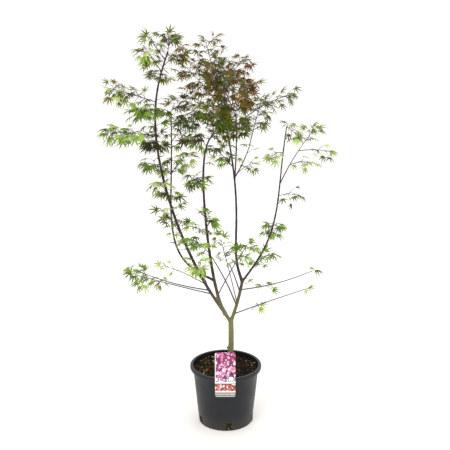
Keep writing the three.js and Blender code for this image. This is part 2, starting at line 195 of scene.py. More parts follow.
def maths(tree, operation, *values):
    """The result of a Math node."""
    return add_node(tree, "ShaderNodeMath", enumerate(values), operation=operation).outputs[0]


def remap(tree, value, source=(0, 1), target=(0, 1)):
    """A value carried over from one range to another, and held at its ends."""
    limits = zip(("From Min", "From Max", "To Min", "To Max"), (*source, *target))
    return add_node(tree, "ShaderNodeMapRange", [("Value", value), *limits]).outputs["Result"]


def noise(tree, place, scale, detail=2.0, output="Fac"):
    """A noise texture."""
    inputs = [("Vector", place), ("Scale", scale), ("Detail", detail)]
    return add_node(tree, "ShaderNodeTexNoise", inputs).outputs[output]


def blend(tree, amount, under, over):
    """Two colours mixed by an amount."""
    inputs = [("Factor", amount), ("A", under), ("B", over)]
    return add_node(tree, "ShaderNodeMix", inputs, data_type="RGBA").outputs["Result"]


def place_on(tree):
    """The place on the piece, from its Object coordinates, and that place's height."""
    place = add_node(tree, "ShaderNodeTexCoord").outputs["Object"]
    return place, add_node(tree, "ShaderNodeSeparateXYZ", [("Vector", place)]).outputs["Z"]


def new_group(name, inputs, outputs):
    """A shader node group, the sockets it is given, those it puts out, and the place on the piece."""
    group = bpy.data.node_groups.new(name, "ShaderNodeTree")
    for label, kind, value in inputs:
        socket = group.interface.new_socket(name=label, in_out="INPUT", socket_type=kind)
        socket.default_value = value
    for label, kind in outputs:
        group.interface.new_socket(name=label, in_out="OUTPUT", socket_type=kind)
    given = add_node(group, "NodeGroupInput").outputs
    out = add_node(group, "NodeGroupOutput").inputs
    return group, given, out, add_node(group, "ShaderNodeTexCoord").outputs["Object"]


print("node helpers ready")

# %% [markdown]
# `mottle` is what keeps a leaf, a pot or a clod of soil from looking painted: a slow noise picks the amount,
# and the given colour is darkened or lightened by it. It could be a colour ramp in every material, but then
# each one would have its own copy to keep in step.

# %% The mottle group
mottle, given, out, place = new_group(
    "mottle",
    [("Color", COLOUR, (0.5, 0.5, 0.5, 1)), ("Scale", FLOAT, 40.0), ("Amount", FLOAT, 0.3)],
    [("Color", COLOUR), ("Mask", FLOAT)],
)
mask = remap(mottle, noise(mottle, place, given["Scale"], 4.0), (0.3, 0.7))
swing = maths(mottle, "MULTIPLY", maths(mottle, "SUBTRACT", mask, 0.5), given["Amount"])
gain = maths(mottle, "ADD", swing, 1.0)
tinted = add_node(mottle, "ShaderNodeVectorMath", [(0, given["Color"]), ("Scale", gain)], operation="SCALE")
mottle.links.new(tinted.outputs["Vector"], out["Color"])
mottle.links.new(mask, out["Mask"])
print("group", mottle.name, len(mottle.nodes), "nodes")

# %% [markdown]
# `grain` is a fine height for bumps, stretched along Z by its Stretch input: at 1 it is an even pimpling, as
# on moulded plastic, and above 1 it turns into upright streaks, as on young bark.

# %% The grain group
grain, given, out, place = new_group(
    "grain", [("Scale", FLOAT, 400.0), ("Stretch", FLOAT, 1.0)], [("Height", FLOAT)]
)
parts = add_node(grain, "ShaderNodeSeparateXYZ", [("Vector", place)]).outputs
squeezed = maths(grain, "DIVIDE", parts["Z"], given["Stretch"])
rebuilt = add_node(grain, "ShaderNodeCombineXYZ", [("X", parts["X"]), ("Y", parts["Y"]), ("Z", squeezed)])
grain.links.new(noise(grain, rebuilt.outputs["Vector"], given["Scale"], 3.0), out["Height"])
print("group", grain.name, len(grain.nodes), "nodes")

# %% [markdown]
# Most finishes here are a colour through `mottle`, a height through `grain`, and a roughness that follows the
# mottle's mask between two values. One function builds them all, and the odd ones add their own nodes.

# %% The finish function
def mottled(tree, colour, mottling):
    """The outputs of a `mottle` of one's own, for a colour and a (scale, amount)."""
    inputs = [("Color", (*colour, 1)), ("Scale", mottling[0]), ("Amount", mottling[1])]
    return add_node(tree, "ShaderNodeGroup", inputs, node_tree=mottle).outputs


def finish(name, colour, roughness, mottling, bump, shine=0.5):
    """A Principled material with a mottled colour, a roughness between two values, and a fine bump.

    `mottling` is (scale, amount), and `bump` is (scale, stretch, strength).
    """
    material = bpy.data.materials.new(name)
    material.use_nodes = True
    tree = material.node_tree
    shader = tree.nodes["Principled BSDF"].inputs
    drift = mottled(tree, colour, mottling)
    scale, stretch, strength = bump
    pimples = add_node(tree, "ShaderNodeGroup", [("Scale", scale), ("Stretch", stretch)], node_tree=grain)
    inputs = [("Height", pimples.outputs["Height"]), ("Strength", strength), ("Distance", MM)]
    relief = add_node(tree, "ShaderNodeBump", inputs)
    tree.links.new(drift["Color"], shader["Base Color"])
    tree.links.new(remap(tree, drift["Mask"], target=roughness), shader["Roughness"])
    tree.links.new(relief.outputs["Normal"], shader["Normal"])
    shader["Specular IOR Level"].default_value = shine
    return material


def colour_of(material):
    """A material's node tree, the socket that its colour goes into, and the one that it comes from."""
    tree = material.node_tree
    target = tree.nodes["Principled BSDF"].inputs["Base Color"]
    return tree, target, target.links[0].from_socket


floor.data.materials.append(
    finish("floor_paper", (0.98, 0.97, 0.945), (0.85, 0.95), (1.5, 0.01), (200.0, 1.0, 0.02))
)
print("floor finish on", floor.name)

# %% [markdown]
# ## The pot
# The pot is a moulded nursery pot: a tapered wall with a deep rolled lip and five drain holes cut into its
# bottom corner. A Screw modifier on a profile would turn it in one go. Pushing a disc up ring by ring is
# closer to how one models by hand, and it gives a closed shell with an outside, a lip and an inside.

# %% Sizes of the pot, and a shell of rings
HEIGHT, RIM, MOUTH, BASE, WALL = 238.5 * MM, 141.5 * MM, 128 * MM, 107 * MM, 2.6 * MM
LIP = 17 * MM
SHOULDER = RIM - 12.5 * MM
lip_foot = HEIGHT - LIP


def wall_radius(z):
    """The outer wall's radius under the lip, at a height."""
    return BASE + (SHOULDER - BASE) * z / lip_foot


def face_outward():
    """Turns every face of the mesh that is being edited to the outside."""
    bpy.ops.mesh.select_all(action="SELECT")
    bpy.ops.mesh.normals_make_consistent(inside=False)


def round_shell(name, rings, corners):
    """A closed round shell: a disc pushed up through (radius, height) rings, its own ring first."""
    radius, z = rings[0]
    disc = {"vertices": corners, "radius": radius, "fill_type": "NGON", "location": (0, 0, z)}
    shell = started(bpy.ops.mesh.primitive_circle_add, name, **disc)
    settle(shell)
    with editing():
        for (radius, z), (next_radius, next_z) in zip(rings, rings[1:]):
            bpy.ops.mesh.extrude_region_move(TRANSFORM_OT_translate={"value": (0, 0, next_z - z)})
            scale = next_radius / radius
            bpy.ops.transform.resize(value=(scale, scale, 1), center_override=(0, 0, next_z))
        face_outward()
    return shell


print("pot", HEIGHT, "high,", 2 * RIM, "across")

# %% [markdown]
# The lip is where light catches the pot, so its section gets more rings than the rest: a step out under it,
# a flat band with a faint waist, a round top edge, and the fold back down to the inner wall.

# %% Pot shell
def rings_near(radius, height, steps):
    """Rings that lie some millimetres out from a radius and up from a height."""
    return [(radius + out * MM, height + up * MM) for out, up in steps]


def triangles(obj):
    """How many triangles an object's mesh has."""
    return sum(len(face.vertices) - 2 for face in obj.data.polygons)


rings = [
    *rings_near(BASE, 0, [(-6, 0), (-3, 0), (-0.8, 0.9), (0, 3)]),
    *((wall_radius(z), z) for z in (50 * MM, 110 * MM, 170 * MM, lip_foot - 6 * MM)),
    (SHOULDER + 1.5 * MM, lip_foot),
    *rings_near(RIM, lip_foot, [(-5, 1.2), (-1.6, 2.6), (-0.4, 5), (-0.9, 9)]),
    *rings_near(RIM, HEIGHT, [(-0.2, -5), (-0.9, -2.2), (-2.8, -0.5), (-5, 0)]),
    *rings_near(MOUTH, HEIGHT, [(4, 0), (1.4, -0.8), (0, -3)]),
    (SHOULDER - WALL, lip_foot),
    *((wall_radius(z) - WALL, z) for z in (100 * MM, WALL)),
]
pot = round_shell("nursery_pot", rings, 160)
print("pot shell", triangles(pot), "triangles")

# %% [markdown]
# The drain holes are low in the wall, just over the floor, and they are cut by a Boolean: one rounded block,
# copied round the bottom with each copy its own mesh, and all of them joined into one cutter.

# %% Drain holes
DRAINS = [math.radians(6 + 72 * step) for step in range(5)]
DRAIN_SIZE, DRAIN_HEIGHT, DRAIN_CORNER = (25 * MM, 32 * MM, 29 * MM), 19.5 * MM, 5 * MM


def apply_modifier(obj, kind, **settings):
    """Adds a modifier with its settings and applies it."""
    only(obj)
    modifier = obj.modifiers.new(kind.lower(), kind)
    for key, value in settings.items():
        setattr(modifier, key, value)
    bpy.ops.object.modifier_apply(modifier=modifier.name)


def joined(name, objects):
    """Joins objects into the first of them."""
    only(objects[0])
    for obj in objects[1:]:
        obj.select_set(True)
    bpy.ops.object.join()
    return named(name)


def smooth(obj, degrees=180):
    """Shades a mesh smooth over the edges that are blunter than an angle."""
    only(obj)
    if degrees < 180:
        bpy.ops.object.shade_smooth_by_angle(angle=math.radians(degrees))
    else:
        bpy.ops.object.shade_smooth()


def drain_cutter(angle):
    """A rounded block through the pot's low wall at an angle from the front."""
    place = (0, -BASE, DRAIN_HEIGHT)
    block = started(bpy.ops.mesh.primitive_cube_add, "drain_cutter", size=1, location=place)
    block.dimensions = DRAIN_SIZE
    settle(block)
    apply_modifier(block, "BEVEL", width=DRAIN_CORNER, segments=4, limit_method="NONE")
    with editing():
        bpy.ops.transform.rotate(value=-angle, orient_axis="Z", center_override=(0, 0, 0))
    return block


cutter = joined("drain_cutters", [drain_cutter(angle) for angle in DRAINS])
apply_modifier(pot, "BOOLEAN", operation="DIFFERENCE", object=cutter, solver="EXACT")
bpy.data.objects.remove(cutter)
smooth(pot, 32)
print("pot with drain holes", triangles(pot), "triangles")

# %% [markdown]
# Nursery pots are charcoal polypropylene: dull, with a soft sheen and a faint cloudiness from the mould. The
# lower wall is a little dusty. A height mask on Object Z mixes the dust in, broken up by a noise. The inner
# wall above the soil gets a duller and darker finish, which is painted shade: the dark inside the pot's mouth
# painted onto its faces.

# %% Pot finish
DUST, DUST_TOP, MOST_DUST = (0.1, 0.085, 0.065, 1), 70 * MM, 0.5
# painted shade: the inner wall above this height gets a darker colour that stands in for the dark inside the
# pot
PAINTED_SHADE_FOOT = 40 * MM
CHARCOAL, PAINTED_SHADE_COLOUR = (0.0095, 0.011, 0.0145), (0.008, 0.0075, 0.0075)
charcoal = finish("charcoal_plastic", CHARCOAL, (0.34, 0.48), (14.0, 0.25), (900.0, 1.0, 0.12), 0.27)
painted_shade = finish("painted_shade_plastic", PAINTED_SHADE_COLOUR, (0.8, 0.95), (60.0, 0.6), (700.0, 1.0, 0.3), 0.08)
tree, target, clean = colour_of(charcoal)
place, height = place_on(tree)
low = remap(tree, height, (DUST_TOP, 0), (0, MOST_DUST))
amount = maths(tree, "MULTIPLY", low, noise(tree, place, 55.0, 5.0))
tree.links.new(blend(tree, amount, clean, DUST), target)
pot.data.materials.append(charcoal)
pot.data.materials.append(painted_shade)
# faces of the inner wall above the soil get the painted shade finish
for face in pot.data.polygons:
    middle = face.center
    inside = middle.xy.length < MOUTH + 0.8 * MM and face.normal.xy.dot(middle.xy) < 0
    face.material_index = int(inside and middle.z > PAINTED_SHADE_FOOT)
print("pot finish with", sum(face.material_index for face in pot.data.polygons), "stained faces")

# %% [markdown]
# ## The soil
# Potting mix fills the pot to a little under its lip. Through the drain holes its side shows too, so it is a
# whole plug and not just a lid. It is raised ring by ring like the pot, and its top is closed in by many
# narrow rings, which give the Displace modifier enough points to lift into crumbs.

# %% Soil plug
SOIL_TOP, DISH, PLUG_GAP, TOP_RINGS = 226 * MM, 2.5 * MM, 0.5 * MM, 46
plug_floor = wall_radius(WALL) - WALL - PLUG_GAP
plug_rim = wall_radius(SOIL_TOP) - WALL - PLUG_GAP
plug = [(plug_floor, WALL + 0.3 * MM), (plug_rim, SOIL_TOP - 1 * MM)]
for ring in range(1, TOP_RINGS):
    dip = DISH * math.sin(math.pi * ring / TOP_RINGS)
    plug.append((plug_rim * (1 - ring / TOP_RINGS), SOIL_TOP - dip))
soil = round_shell("potting_mix", plug, 150)
print("soil plug", triangles(soil), "triangles")

# %% [markdown]
# The crumbs are two passes of cloud-shaped relief, a coarse one and a fine one. Only the top is lifted, up to
# a millimetre from the wall, so that the plug doesn't push through the pot.

# %% Crumbs
def roughen(obj, passes, level, **settings):
    """Displaces a mesh by clouds, in passes of (size, depth)."""
    for size, depth in passes:
        pattern = bpy.data.textures.new("relief", "CLOUDS")
        pattern.noise_scale = size
        apply_modifier(obj, "DISPLACE", texture=pattern, strength=depth, mid_level=level, **settings)


on_top = [
    corner.index
    for corner in soil.data.vertices
    if corner.co.z > SOIL_TOP - 3 * MM and corner.co.xy.length < plug_rim - 1 * MM
]
soil.vertex_groups.new(name="top").add(on_top, 1, "ADD")
roughen(soil, [(16 * MM, 5 * MM), (4 * MM, 3 * MM)], 0.6, vertex_group="top")
smooth(soil, 60)
print("soil", triangles(soil), "triangles,", len(on_top), "points lifted")

# %% [markdown]
# The mix is composted bark. What makes it look like soil at this scale is not the lumps but the chips: short
# flat splinters in black, brown and tan, a few green specks, and white grains of perlite. One chip is a
# cube whose far face is shrunk and shifted, and arrays of seeded numbers lay out hundreds of copies of it.

# %% One chip
chip = started(bpy.ops.mesh.primitive_cube_add, "bark_chip", size=1)
with editing():
    for face in bmesh.from_edit_mesh(chip.data).faces:
        face.select_set(face.normal.x > 0.9)
    bpy.ops.transform.resize(value=(1, 0.55, 0.5))
    bpy.ops.transform.translate(value=(0, 0.12, -0.08))


def taken_apart(obj):
    """The points and the faces of an object, which is then removed."""
    points = np.array([corner.co for corner in obj.data.vertices])
    faces = [tuple(face.vertices) for face in obj.data.polygons]
    bpy.data.objects.remove(obj)
    return points, faces


CHIP_FORM = taken_apart(chip)
print("chip", len(CHIP_FORM[1]), "faces")

# %% [markdown]
# Everything that is scattered or grown in this script draws its numbers from one kind of counter, so that a
# second run gives the same plant: the state is multiplied, added to, and cut to 32 bits. Copies could be
# linked objects, but hundreds of objects are slow to export, so all the copies of a kind go into one mesh.

# %% A seeded draw, and many copies in one mesh
def seeded(seed):
    """A function that gives the next number between two limits, the same ones for the same seed."""
    state = seed

    def draw(low=0.0, high=1.0):
        nonlocal state
        state = (1664525 * state + 1013904223) % 2**32
        return low + (high - low) * state / 2**32

    return draw


def copies_mesh(name, copies, materials):
    """One object from many copies: each is (points, faces, matrix, material number)."""
    points, faces, numbers, start = [], [], [], 0
    for form_points, form_faces, matrix, number in copies:
        turn = np.array(matrix.to_3x3())
        points.append(form_points @ turn.T + np.array(matrix.translation))
        faces.extend(tuple(index + start for index in face) for face in form_faces)
        numbers.extend([number] * len(form_faces))
        start += len(form_points)
    mesh = bpy.data.meshes.new(name)
    mesh.from_pydata(np.concatenate(points).tolist(), [], faces)
    for material in materials:
        mesh.materials.append(material)
    mesh.polygons.foreach_set("material_index", numbers)
    mesh.update()
    obj = bpy.data.objects.new(name, mesh)
    bpy.context.scene.collection.objects.link(obj)
    return obj


print("seeded draw starts", round(seeded(3)(), 4))

# %% [markdown]
# Most of the bark is black with wet, a third is brown, and a few chips are dry and pale or green with moss.
# The grains of perlite are lumps of one size. Each kind has its own tint and its share of the draw.

# %% Kinds of chip
CHIPS = {
    "black": (0.58, (0.007, 0.004, 0.0025)),
    "brown": (0.89, (0.038, 0.017, 0.008)),
    "tan": (0.945, (0.24, 0.145, 0.048)),
    "moss": (0.985, (0.07, 0.09, 0.02)),
    "perlite": (1.0, (0.62, 0.58, 0.48)),
}
PERLITE, PERLITE_SIZE = list(CHIPS).index("perlite"), 0.5
CHIP_LENGTH, CHIP_WIDTH, CHIP_THICK, CHIP_TILT = (0.6, 1.6), (0.35, 0.7), (0.18, 0.34), 0.6
draw = seeded(5)
chips = []


def add_chip(place, size, least=0.0):
    """A chip of random kind, length and turn; `least` keeps out the darker kinds."""
    pick = draw(least, 1)
    kind = next(number for number, (share, _) in enumerate(CHIPS.values()) if pick <= share)
    length, width = size * draw(*CHIP_LENGTH), size * draw(*CHIP_WIDTH)
    if kind == PERLITE:
        length = width = size * PERLITE_SIZE
    turn = Matrix.Rotation(draw(0, 2 * math.pi), 4, "Z")
    tilt = Matrix.Rotation(draw(-CHIP_TILT, CHIP_TILT), 4, "Y")
    scale = Matrix.Diagonal((length, width, size * draw(*CHIP_THICK), 1))
    chips.append((*CHIP_FORM, Matrix.Translation(place) @ turn @ tilt @ scale, kind))


chip_finishes = [
    finish(f"chip_{name}", tint, (0.75, 0.95), (250.0, 0.7), (900.0, 1.0, 0.5), 0.12)
    for name, (_, tint) in CHIPS.items()
]
print("kinds of chip", list(CHIPS))

# %% [markdown]
# Chips lie all over the soil, paler ones gather in small heaps on its left side, where watering has washed
# them together, and some sit behind the drain holes. Scattering them by particles would do, but particles
# are lost on export. The square root of a draw spreads them evenly over a round top.

# %% Chips over the soil and behind the drain holes
LOOSE_CHIPS, LOOSE_SIZE, LOOSE_DEPTH = 1500, 7.5 * MM, (1.5, 4.5)
HEAPS, HEAP_SIDE, HEAP_WIDTH = 16, (0.6, 1.46), 11
HEAP_CHIPS, HEAP_SIZE, PALE = 12, 7 * MM, 0.7
DRAIN_CHIPS, DRAIN_CHIP_SIZE, NOT_BLACK = 55, 6 * MM, 0.45
DRAIN_ARC, DRAIN_SPAN = 0.11, (5, 33)


def about_axis(reach, angle, z):
    """A place at a distance and an angle from the pot's axis, at a height."""
    return Vector((reach * math.cos(angle), reach * math.sin(angle), z))


for _ in range(LOOSE_CHIPS):
    reach, angle = (plug_rim - 4 * MM) * math.sqrt(draw()), draw(0, 2 * math.pi)
    add_chip(about_axis(reach, angle, SOIL_TOP - draw(*LOOSE_DEPTH) * MM), LOOSE_SIZE)
for _ in range(HEAPS):
    reach, angle = (plug_rim - 12 * MM) * math.sqrt(draw()), draw(*HEAP_SIDE) * math.pi
    heap = about_axis(reach, angle, SOIL_TOP - 1 * MM)
    for _ in range(HEAP_CHIPS):
        offset = [draw(-HEAP_WIDTH, HEAP_WIDTH) * MM for _ in range(2)]
        add_chip(heap + Vector((*offset, 0)), HEAP_SIZE, PALE)
for drain in DRAINS:
    for _ in range(DRAIN_CHIPS):
        angle, z = drain - math.pi / 2 + draw(-DRAIN_ARC, DRAIN_ARC), draw(*DRAIN_SPAN) * MM
        add_chip(about_axis(plug_floor + 1.8 * MM, angle, z), DRAIN_CHIP_SIZE, NOT_BLACK)
soil_chips = copies_mesh("soil_chips", chips, chip_finishes)
soil.data.materials.append(
    finish("potting_mix", (0.006, 0.0035, 0.002), (0.85, 0.98), (120.0, 0.8), (700.0, 1.0, 0.8), 0.1)
)
print("chips", len(chips), "with", triangles(soil_chips), "triangles")

# %% [markdown]
# ## The plant label
# A bright card hangs over the lip on a tongue of the same plastic. Its print is made of a few flat fields:
# a large blossom-coloured field, a white line, a narrow coral field and a pale foot. An image would do it
# in one go. Here the card's own faces carry the fields, so their edges stay crisp from close by, and the
# blossom and coral fields get a procedural print of simple dots and patches.

# %% Card with its fields
CARD_LEFT, CARD_RIGHT, CARD_LOW, CARD_HIGH = -41 * MM, 37 * MM, 166 * MM, 350 * MM
CARD_BACK, CARD_THICK, CARD_CORNER = -RIM - 0.3 * MM, 0.9 * MM, 7 * MM
MARGIN_LINE = CARD_LEFT + 2.5 * MM
FIELD_LINES = [z * MM for z in (170.5, 173.5, 180.5, 184.5, 190, 219, 222, 229)]
card_middle = ((CARD_LEFT + CARD_RIGHT) / 2, CARD_BACK, (CARD_LOW + CARD_HIGH) / 2)
UPRIGHT = (math.pi / 2, 0, 0)

plane = bpy.ops.mesh.primitive_plane_add
label = started(plane, "plant_label", size=1, location=card_middle, rotation=UPRIGHT)
label.scale = (CARD_RIGHT - CARD_LEFT, CARD_HIGH - CARD_LOW, 1)
settle(label)
with editing():
    bpy.ops.mesh.bevel(offset=CARD_CORNER, segments=8, affect="VERTICES")
    cuts = [((0, 0, line), (0, 0, 1)) for line in FIELD_LINES] + [((MARGIN_LINE, 0, 0), (1, 0, 0))]
    for place, normal in cuts:
        bpy.ops.mesh.select_all(action="SELECT")
        bpy.ops.mesh.bisect(plane_co=place, plane_no=normal)
print("card faces", len(label.data.polygons))

# %% [markdown]
# The fields are told apart by their height, so a list of field colours from the foot up is enough. Only the
# blossom field has a white margin on its left. Printed card is smoother than the pot, with hardly any grain.

# %% Colours of the fields
CARD_INKS = {
    "blossom": ((0.62, 0.17, 0.4), (0.3, 0.42), (60.0, 0.3)),
    "white": ((0.86, 0.84, 0.84), (0.3, 0.4), (80.0, 0.05)),
    "coral": ((0.7, 0.17, 0.13), (0.3, 0.42), (70.0, 0.3)),
    "grey": ((0.42, 0.43, 0.42), (0.3, 0.42), (80.0, 0.08)),
    "ink": ((0.07, 0.055, 0.06), (0.3, 0.4), (80.0, 0.1)),
}
BLOSSOM, WHITE, CORAL, GREY, INK = range(5)
FIELDS = [GREY, INK, GREY, INK, WHITE, CORAL, INK, WHITE, BLOSSOM]
for name, (colour, roughness, mottling) in CARD_INKS.items():
    label.data.materials.append(finish(f"label_{name}", colour, roughness, mottling, (600.0, 1.0, 0.03)))
for face in label.data.polygons:
    field = FIELDS[sum(face.center.z > line for line in FIELD_LINES)]
    face.material_index = WHITE if field == BLOSSOM and face.center.x < MARGIN_LINE else field
print("card fields", sorted({face.material_index for face in label.data.polygons}))

# %% [markdown]
# The tongue starts behind the card's top and bends over the lip. It is one edge pushed along four moves,
# then both it and the card are thickened. Solidify keeps the fields' materials.

# %% Tongue and thickness
TONGUE_WIDTH, TONGUE_FOOT = 30 * MM, 8 * MM
tongue_top = HEIGHT + 0.4 * MM
tongue_end = -(SHOULDER - WALL) + 1.5 * MM
to_inside = tongue_end - CARD_BACK
tongue_place = (card_middle[0], CARD_BACK + 0.2 * MM, tongue_top + 6 * MM)
tongue = started(plane, "label_tongue", size=1, location=tongue_place, rotation=UPRIGHT)
tongue.scale = (TONGUE_WIDTH, TONGUE_FOOT, 1)
settle(tongue)
over_the_edge, across = (0, 2.5 * MM, -1.7 * MM), (0, to_inside - 5 * MM, 0)
round_the_lip, down = (0, 2.5 * MM, -2.2 * MM), (0, 0, -8 * MM)
with editing("DESELECT"):
    shape = bmesh.from_edit_mesh(tongue.data)
    lowest = min(corner.co.z for corner in shape.verts)
    for edge in shape.edges:
        edge.select_set(all(corner.co.z < lowest + 0.1 * MM for corner in edge.verts))
    for move in (over_the_edge, across, round_the_lip, down):
        bpy.ops.mesh.extrude_edges_move(TRANSFORM_OT_translate={"value": move})
tongue.data.materials.append(label.data.materials[WHITE])
for sheet in (label, tongue):
    apply_modifier(sheet, "SOLIDIFY", thickness=CARD_THICK, offset=1)
print("tongue reaches in to", round(max(corner.co.y for corner in tongue.data.vertices), 4))

# %% [markdown]
# A round stamp with a dark ring and three small discs break up the fields. Each is a flat disc that stands a
# hair proud of the card: a filled circle, one inset for the ring, and a small extrusion.

# %% Stamps
RING_SHARE, STAMP_THICK = 0.2, 0.2 * MM
stamp_front = CARD_BACK - CARD_THICK - 0.05 * MM


def stamp(x, z, radius, ring, inner):
    """A thin disc on the card's front, with a ring of one field round another."""
    disc = {"vertices": 36, "radius": radius, "fill_type": "NGON", "rotation": UPRIGHT}
    obj = started(bpy.ops.mesh.primitive_circle_add, "label_stamp", location=(x, stamp_front, z), **disc)
    settle(obj)
    for material in label.data.materials:
        obj.data.materials.append(material)
    obj.data.polygons[0].material_index = ring
    with editing():
        bpy.ops.mesh.inset(thickness=radius * RING_SHARE)
        obj.active_material_index = inner
        bpy.ops.object.material_slot_assign()
        bpy.ops.mesh.select_all(action="SELECT")
        bpy.ops.mesh.extrude_region_move(TRANSFORM_OT_translate={"value": (0, STAMP_THICK, 0)})
        face_outward()
    return obj


stamps = [
    stamp(20 * MM, 240 * MM, 12.5 * MM, INK, WHITE),
    stamp(-34 * MM, 197 * MM, 3.2 * MM, INK, INK),
    stamp(27 * MM, 210 * MM, 3.6 * MM, INK, CORAL),
    stamp(24 * MM, 177 * MM, 3.4 * MM, INK, WHITE),
]
label = joined("plant_label", [label, tongue, *stamps])
smooth(label, 30)
print("label", triangles(label), "triangles")

# %% [markdown]
# The blossom field is a loose pattern of petals: a Voronoi texture gives cells, a ramp turns each cell's
# random value into magenta, pink, lilac or white, and its distance darkens the gaps between them. Object Z
# moves the ramp on, so that the print is deeper at the top and paler below. The coral field has smaller
# cells and no such fading. Neither shows a plant or a picture of anything.

# %% Prints
PETALS = [
    (0, (0.05, 0.01, 0.04)),
    (0.14, (0.4, 0.04, 0.15)),
    (0.3, (0.72, 0.2, 0.38)),
    (0.48, (0.84, 0.46, 0.64)),
    (0.62, (0.44, 0.26, 0.5)),
    (0.7, (0.88, 0.66, 0.82)),
    (0.84, (0.92, 0.9, 0.93)),
]
DOTS = [
    (0, (0.14, 0.03, 0.04)),
    (0.2, (0.68, 0.15, 0.13)),
    (0.5, (0.8, 0.32, 0.28)),
    (0.76, (0.9, 0.78, 0.76)),
]
WARP, WARP_SCALE, GAP = (0.018, 0.0, 0.018), 0.5, (0.48, 0.66)


def print_petals(field, scale, stops, gap_colour, fading):
    """Lays a Voronoi print over a field; `fading` is how far its ramp moves on from top to bottom."""
    tree, target, _ = colour_of(label.data.materials[field])
    place, height = place_on(tree)
    drift = noise(tree, place, scale * WARP_SCALE, output="Color")
    inputs = [(0, drift), (1, WARP), (2, place)]
    bent = add_node(tree, "ShaderNodeVectorMath", inputs, operation="MULTIPLY_ADD").outputs["Vector"]
    cells = add_node(tree, "ShaderNodeTexVoronoi", [("Vector", bent), ("Scale", scale)]).outputs
    pick = add_node(tree, "ShaderNodeSeparateColor", [("Color", cells["Color"])]).outputs["Red"]
    fade = remap(tree, height, (CARD_HIGH, FIELD_LINES[-1]), (0, fading))
    share = maths(tree, "MULTIPLY_ADD", pick, 1 - fading, fade)
    ramp = add_node(tree, "ShaderNodeValToRGB", [("Fac", share)])
    ramp.color_ramp.interpolation = "CONSTANT"
    ends = ramp.color_ramp.elements
    ends[0].color = (*stops[0][1], 1)
    ends[1].position = stops[1][0]
    ends[1].color = (*stops[1][1], 1)
    for position, colour in stops[2:]:
        ends.new(position).color = (*colour, 1)
    gaps = remap(tree, cells["Distance"], GAP)
    tree.links.new(blend(tree, gaps, ramp.outputs["Color"], (*gap_colour, 1)), target)


print_petals(BLOSSOM, 96.0, PETALS, (0.1, 0.015, 0.07), 0.36)
print_petals(CORAL, 140.0, DOTS, (0.2, 0.04, 0.04), 0.0)
print("prints on", BLOSSOM, CORAL)

# %% [markdown]
# ## The trunk and the limbs
# A limb is a line from its foot to its tip, with its middle bowed off the straight and its halves swayed
# apart. That is the rule the CAD solids follow, and the same numbers are used here, so every twig and leaf
# later starts from wood that is really there. The rows are in millimetres: name, what it grows from and
# how far up that, its tip, its bow, its sway, and its widths at foot and tip.

# %% The limb rows
TRUNK_FOOT, TRUNK_TIP, TRUNK_BOW, TRUNK_WIDTHS = (16, 0, 226), (20, 0, 421), (3, 0, 0), (24, 20)
LIMBS = [
    ("right_limb", "trunk", 0.98, (64, 10, 583), (4, 0, 0), (0, 0, 0), (13.5, 12)),
    ("left_limb", "trunk", 0.98, (-206, -20, 1458), (-120, -50, 0), (20, -5, -42), (13.5, 6)),
    ("middle_limb", "left_limb", 0.045, (-44, -130, 1180), (-50, 5, 10), (10, -5, -70), (15, 5)),
    ("outer_limb", "middle_limb", 0.29, (-210, 150, 1220), (-84, 40, -110), (-18, 10, -22), (9.5, 4.8)),
    ("centre_limb", "right_limb", 0.98, (-30, 90, 1322), (24, 0, -145), (-16, 0, 6), (11.5, 6)),
    ("centre_front_limb", "centre_limb", 0.69, (36, -60, 1255), (4, 0, 0), (0, 0, 0), (6.4, 4.4)),
    ("centre_back_limb", "centre_limb", 0.7, (93, 140, 1091), (4, 0, -2), (0, 0, 0), (5.5, 3.8)),
    ("right_bough", "right_limb", 0.98, (214, -130, 1206), (50, 17, -10), (10, -4, -6), (9, 4.4)),
    ("right_outer_limb", "right_bough", 0.65, (290, 30, 1118), (-4, 0, 2), (0, 0, 0), (5, 3)),
]


def bowed_line(foot, tip, bow=(0, 0, 0), sway=(0, 0, 0)):
    """A function from a share of the way (0 foot, 1 tip) to a place."""
    foot, tip, bow, sway = Vector(foot), Vector(tip), Vector(bow), Vector(sway)

    def at(share):
        return foot.lerp(tip, share) + bow * math.sin(math.pi * share) + sway * math.sin(2 * math.pi * share)

    return at


wood = {"trunk": bowed_line(TRUNK_FOOT, TRUNK_TIP, TRUNK_BOW)}
wood_widths = {"trunk": TRUNK_WIDTHS}
for name, parent, share, tip, bow, sway, widths in LIMBS:
    wood[name] = bowed_line(wood[parent](share), tip, bow, sway)
    wood_widths[name] = widths
print("limbs", len(LIMBS))

# %% [markdown]
# Young maple wood isn't a plain cone. It swells a little at every pair of old buds, a few centimetres
# apart, and a limb widens into a collar where it leaves its parent. Both are added to the taper here, so
# that they are in the mesh and catch the light.

# %% Strands of wood
LIMB_PIECES, COLLAR_WIDTHS, BUD_LENGTH, PAST_BUD = 24, 1.2, 3.5, 5
FIRST_BUD, NEXT_BUD = (0.5, 1.0), (0.75, 1.3)


def strand(at, widths, step=7.0, collar=0.35, knuckle=52.0, swelling=0.09, seed=1):
    """Points (in millimetres) and radii along a limb, with a collar at its foot and bud swellings."""
    draw = seeded(seed)
    length = sum((at((i + 1) / LIMB_PIECES) - at(i / LIMB_PIECES)).length for i in range(LIMB_PIECES))
    steps = max(4, round(length / step))
    points, radii = [], []
    next_bud, run = knuckle * draw(*FIRST_BUD), 0.0
    for i in range(steps + 1):
        share = i / steps
        here = at(share)
        if points:
            run += (here - points[-1]).length
        if run > next_bud + PAST_BUD:
            next_bud += knuckle * draw(*NEXT_BUD)
        radius = (widths[0] + (widths[1] - widths[0]) * share) / 2
        radius *= 1 + collar * math.exp(-run / (COLLAR_WIDTHS * widths[0]))
        radius *= 1 + swelling * math.exp(-(((run - next_bud) / BUD_LENGTH) ** 2))
        points.append(here)
        radii.append(radius)
    return points, radii


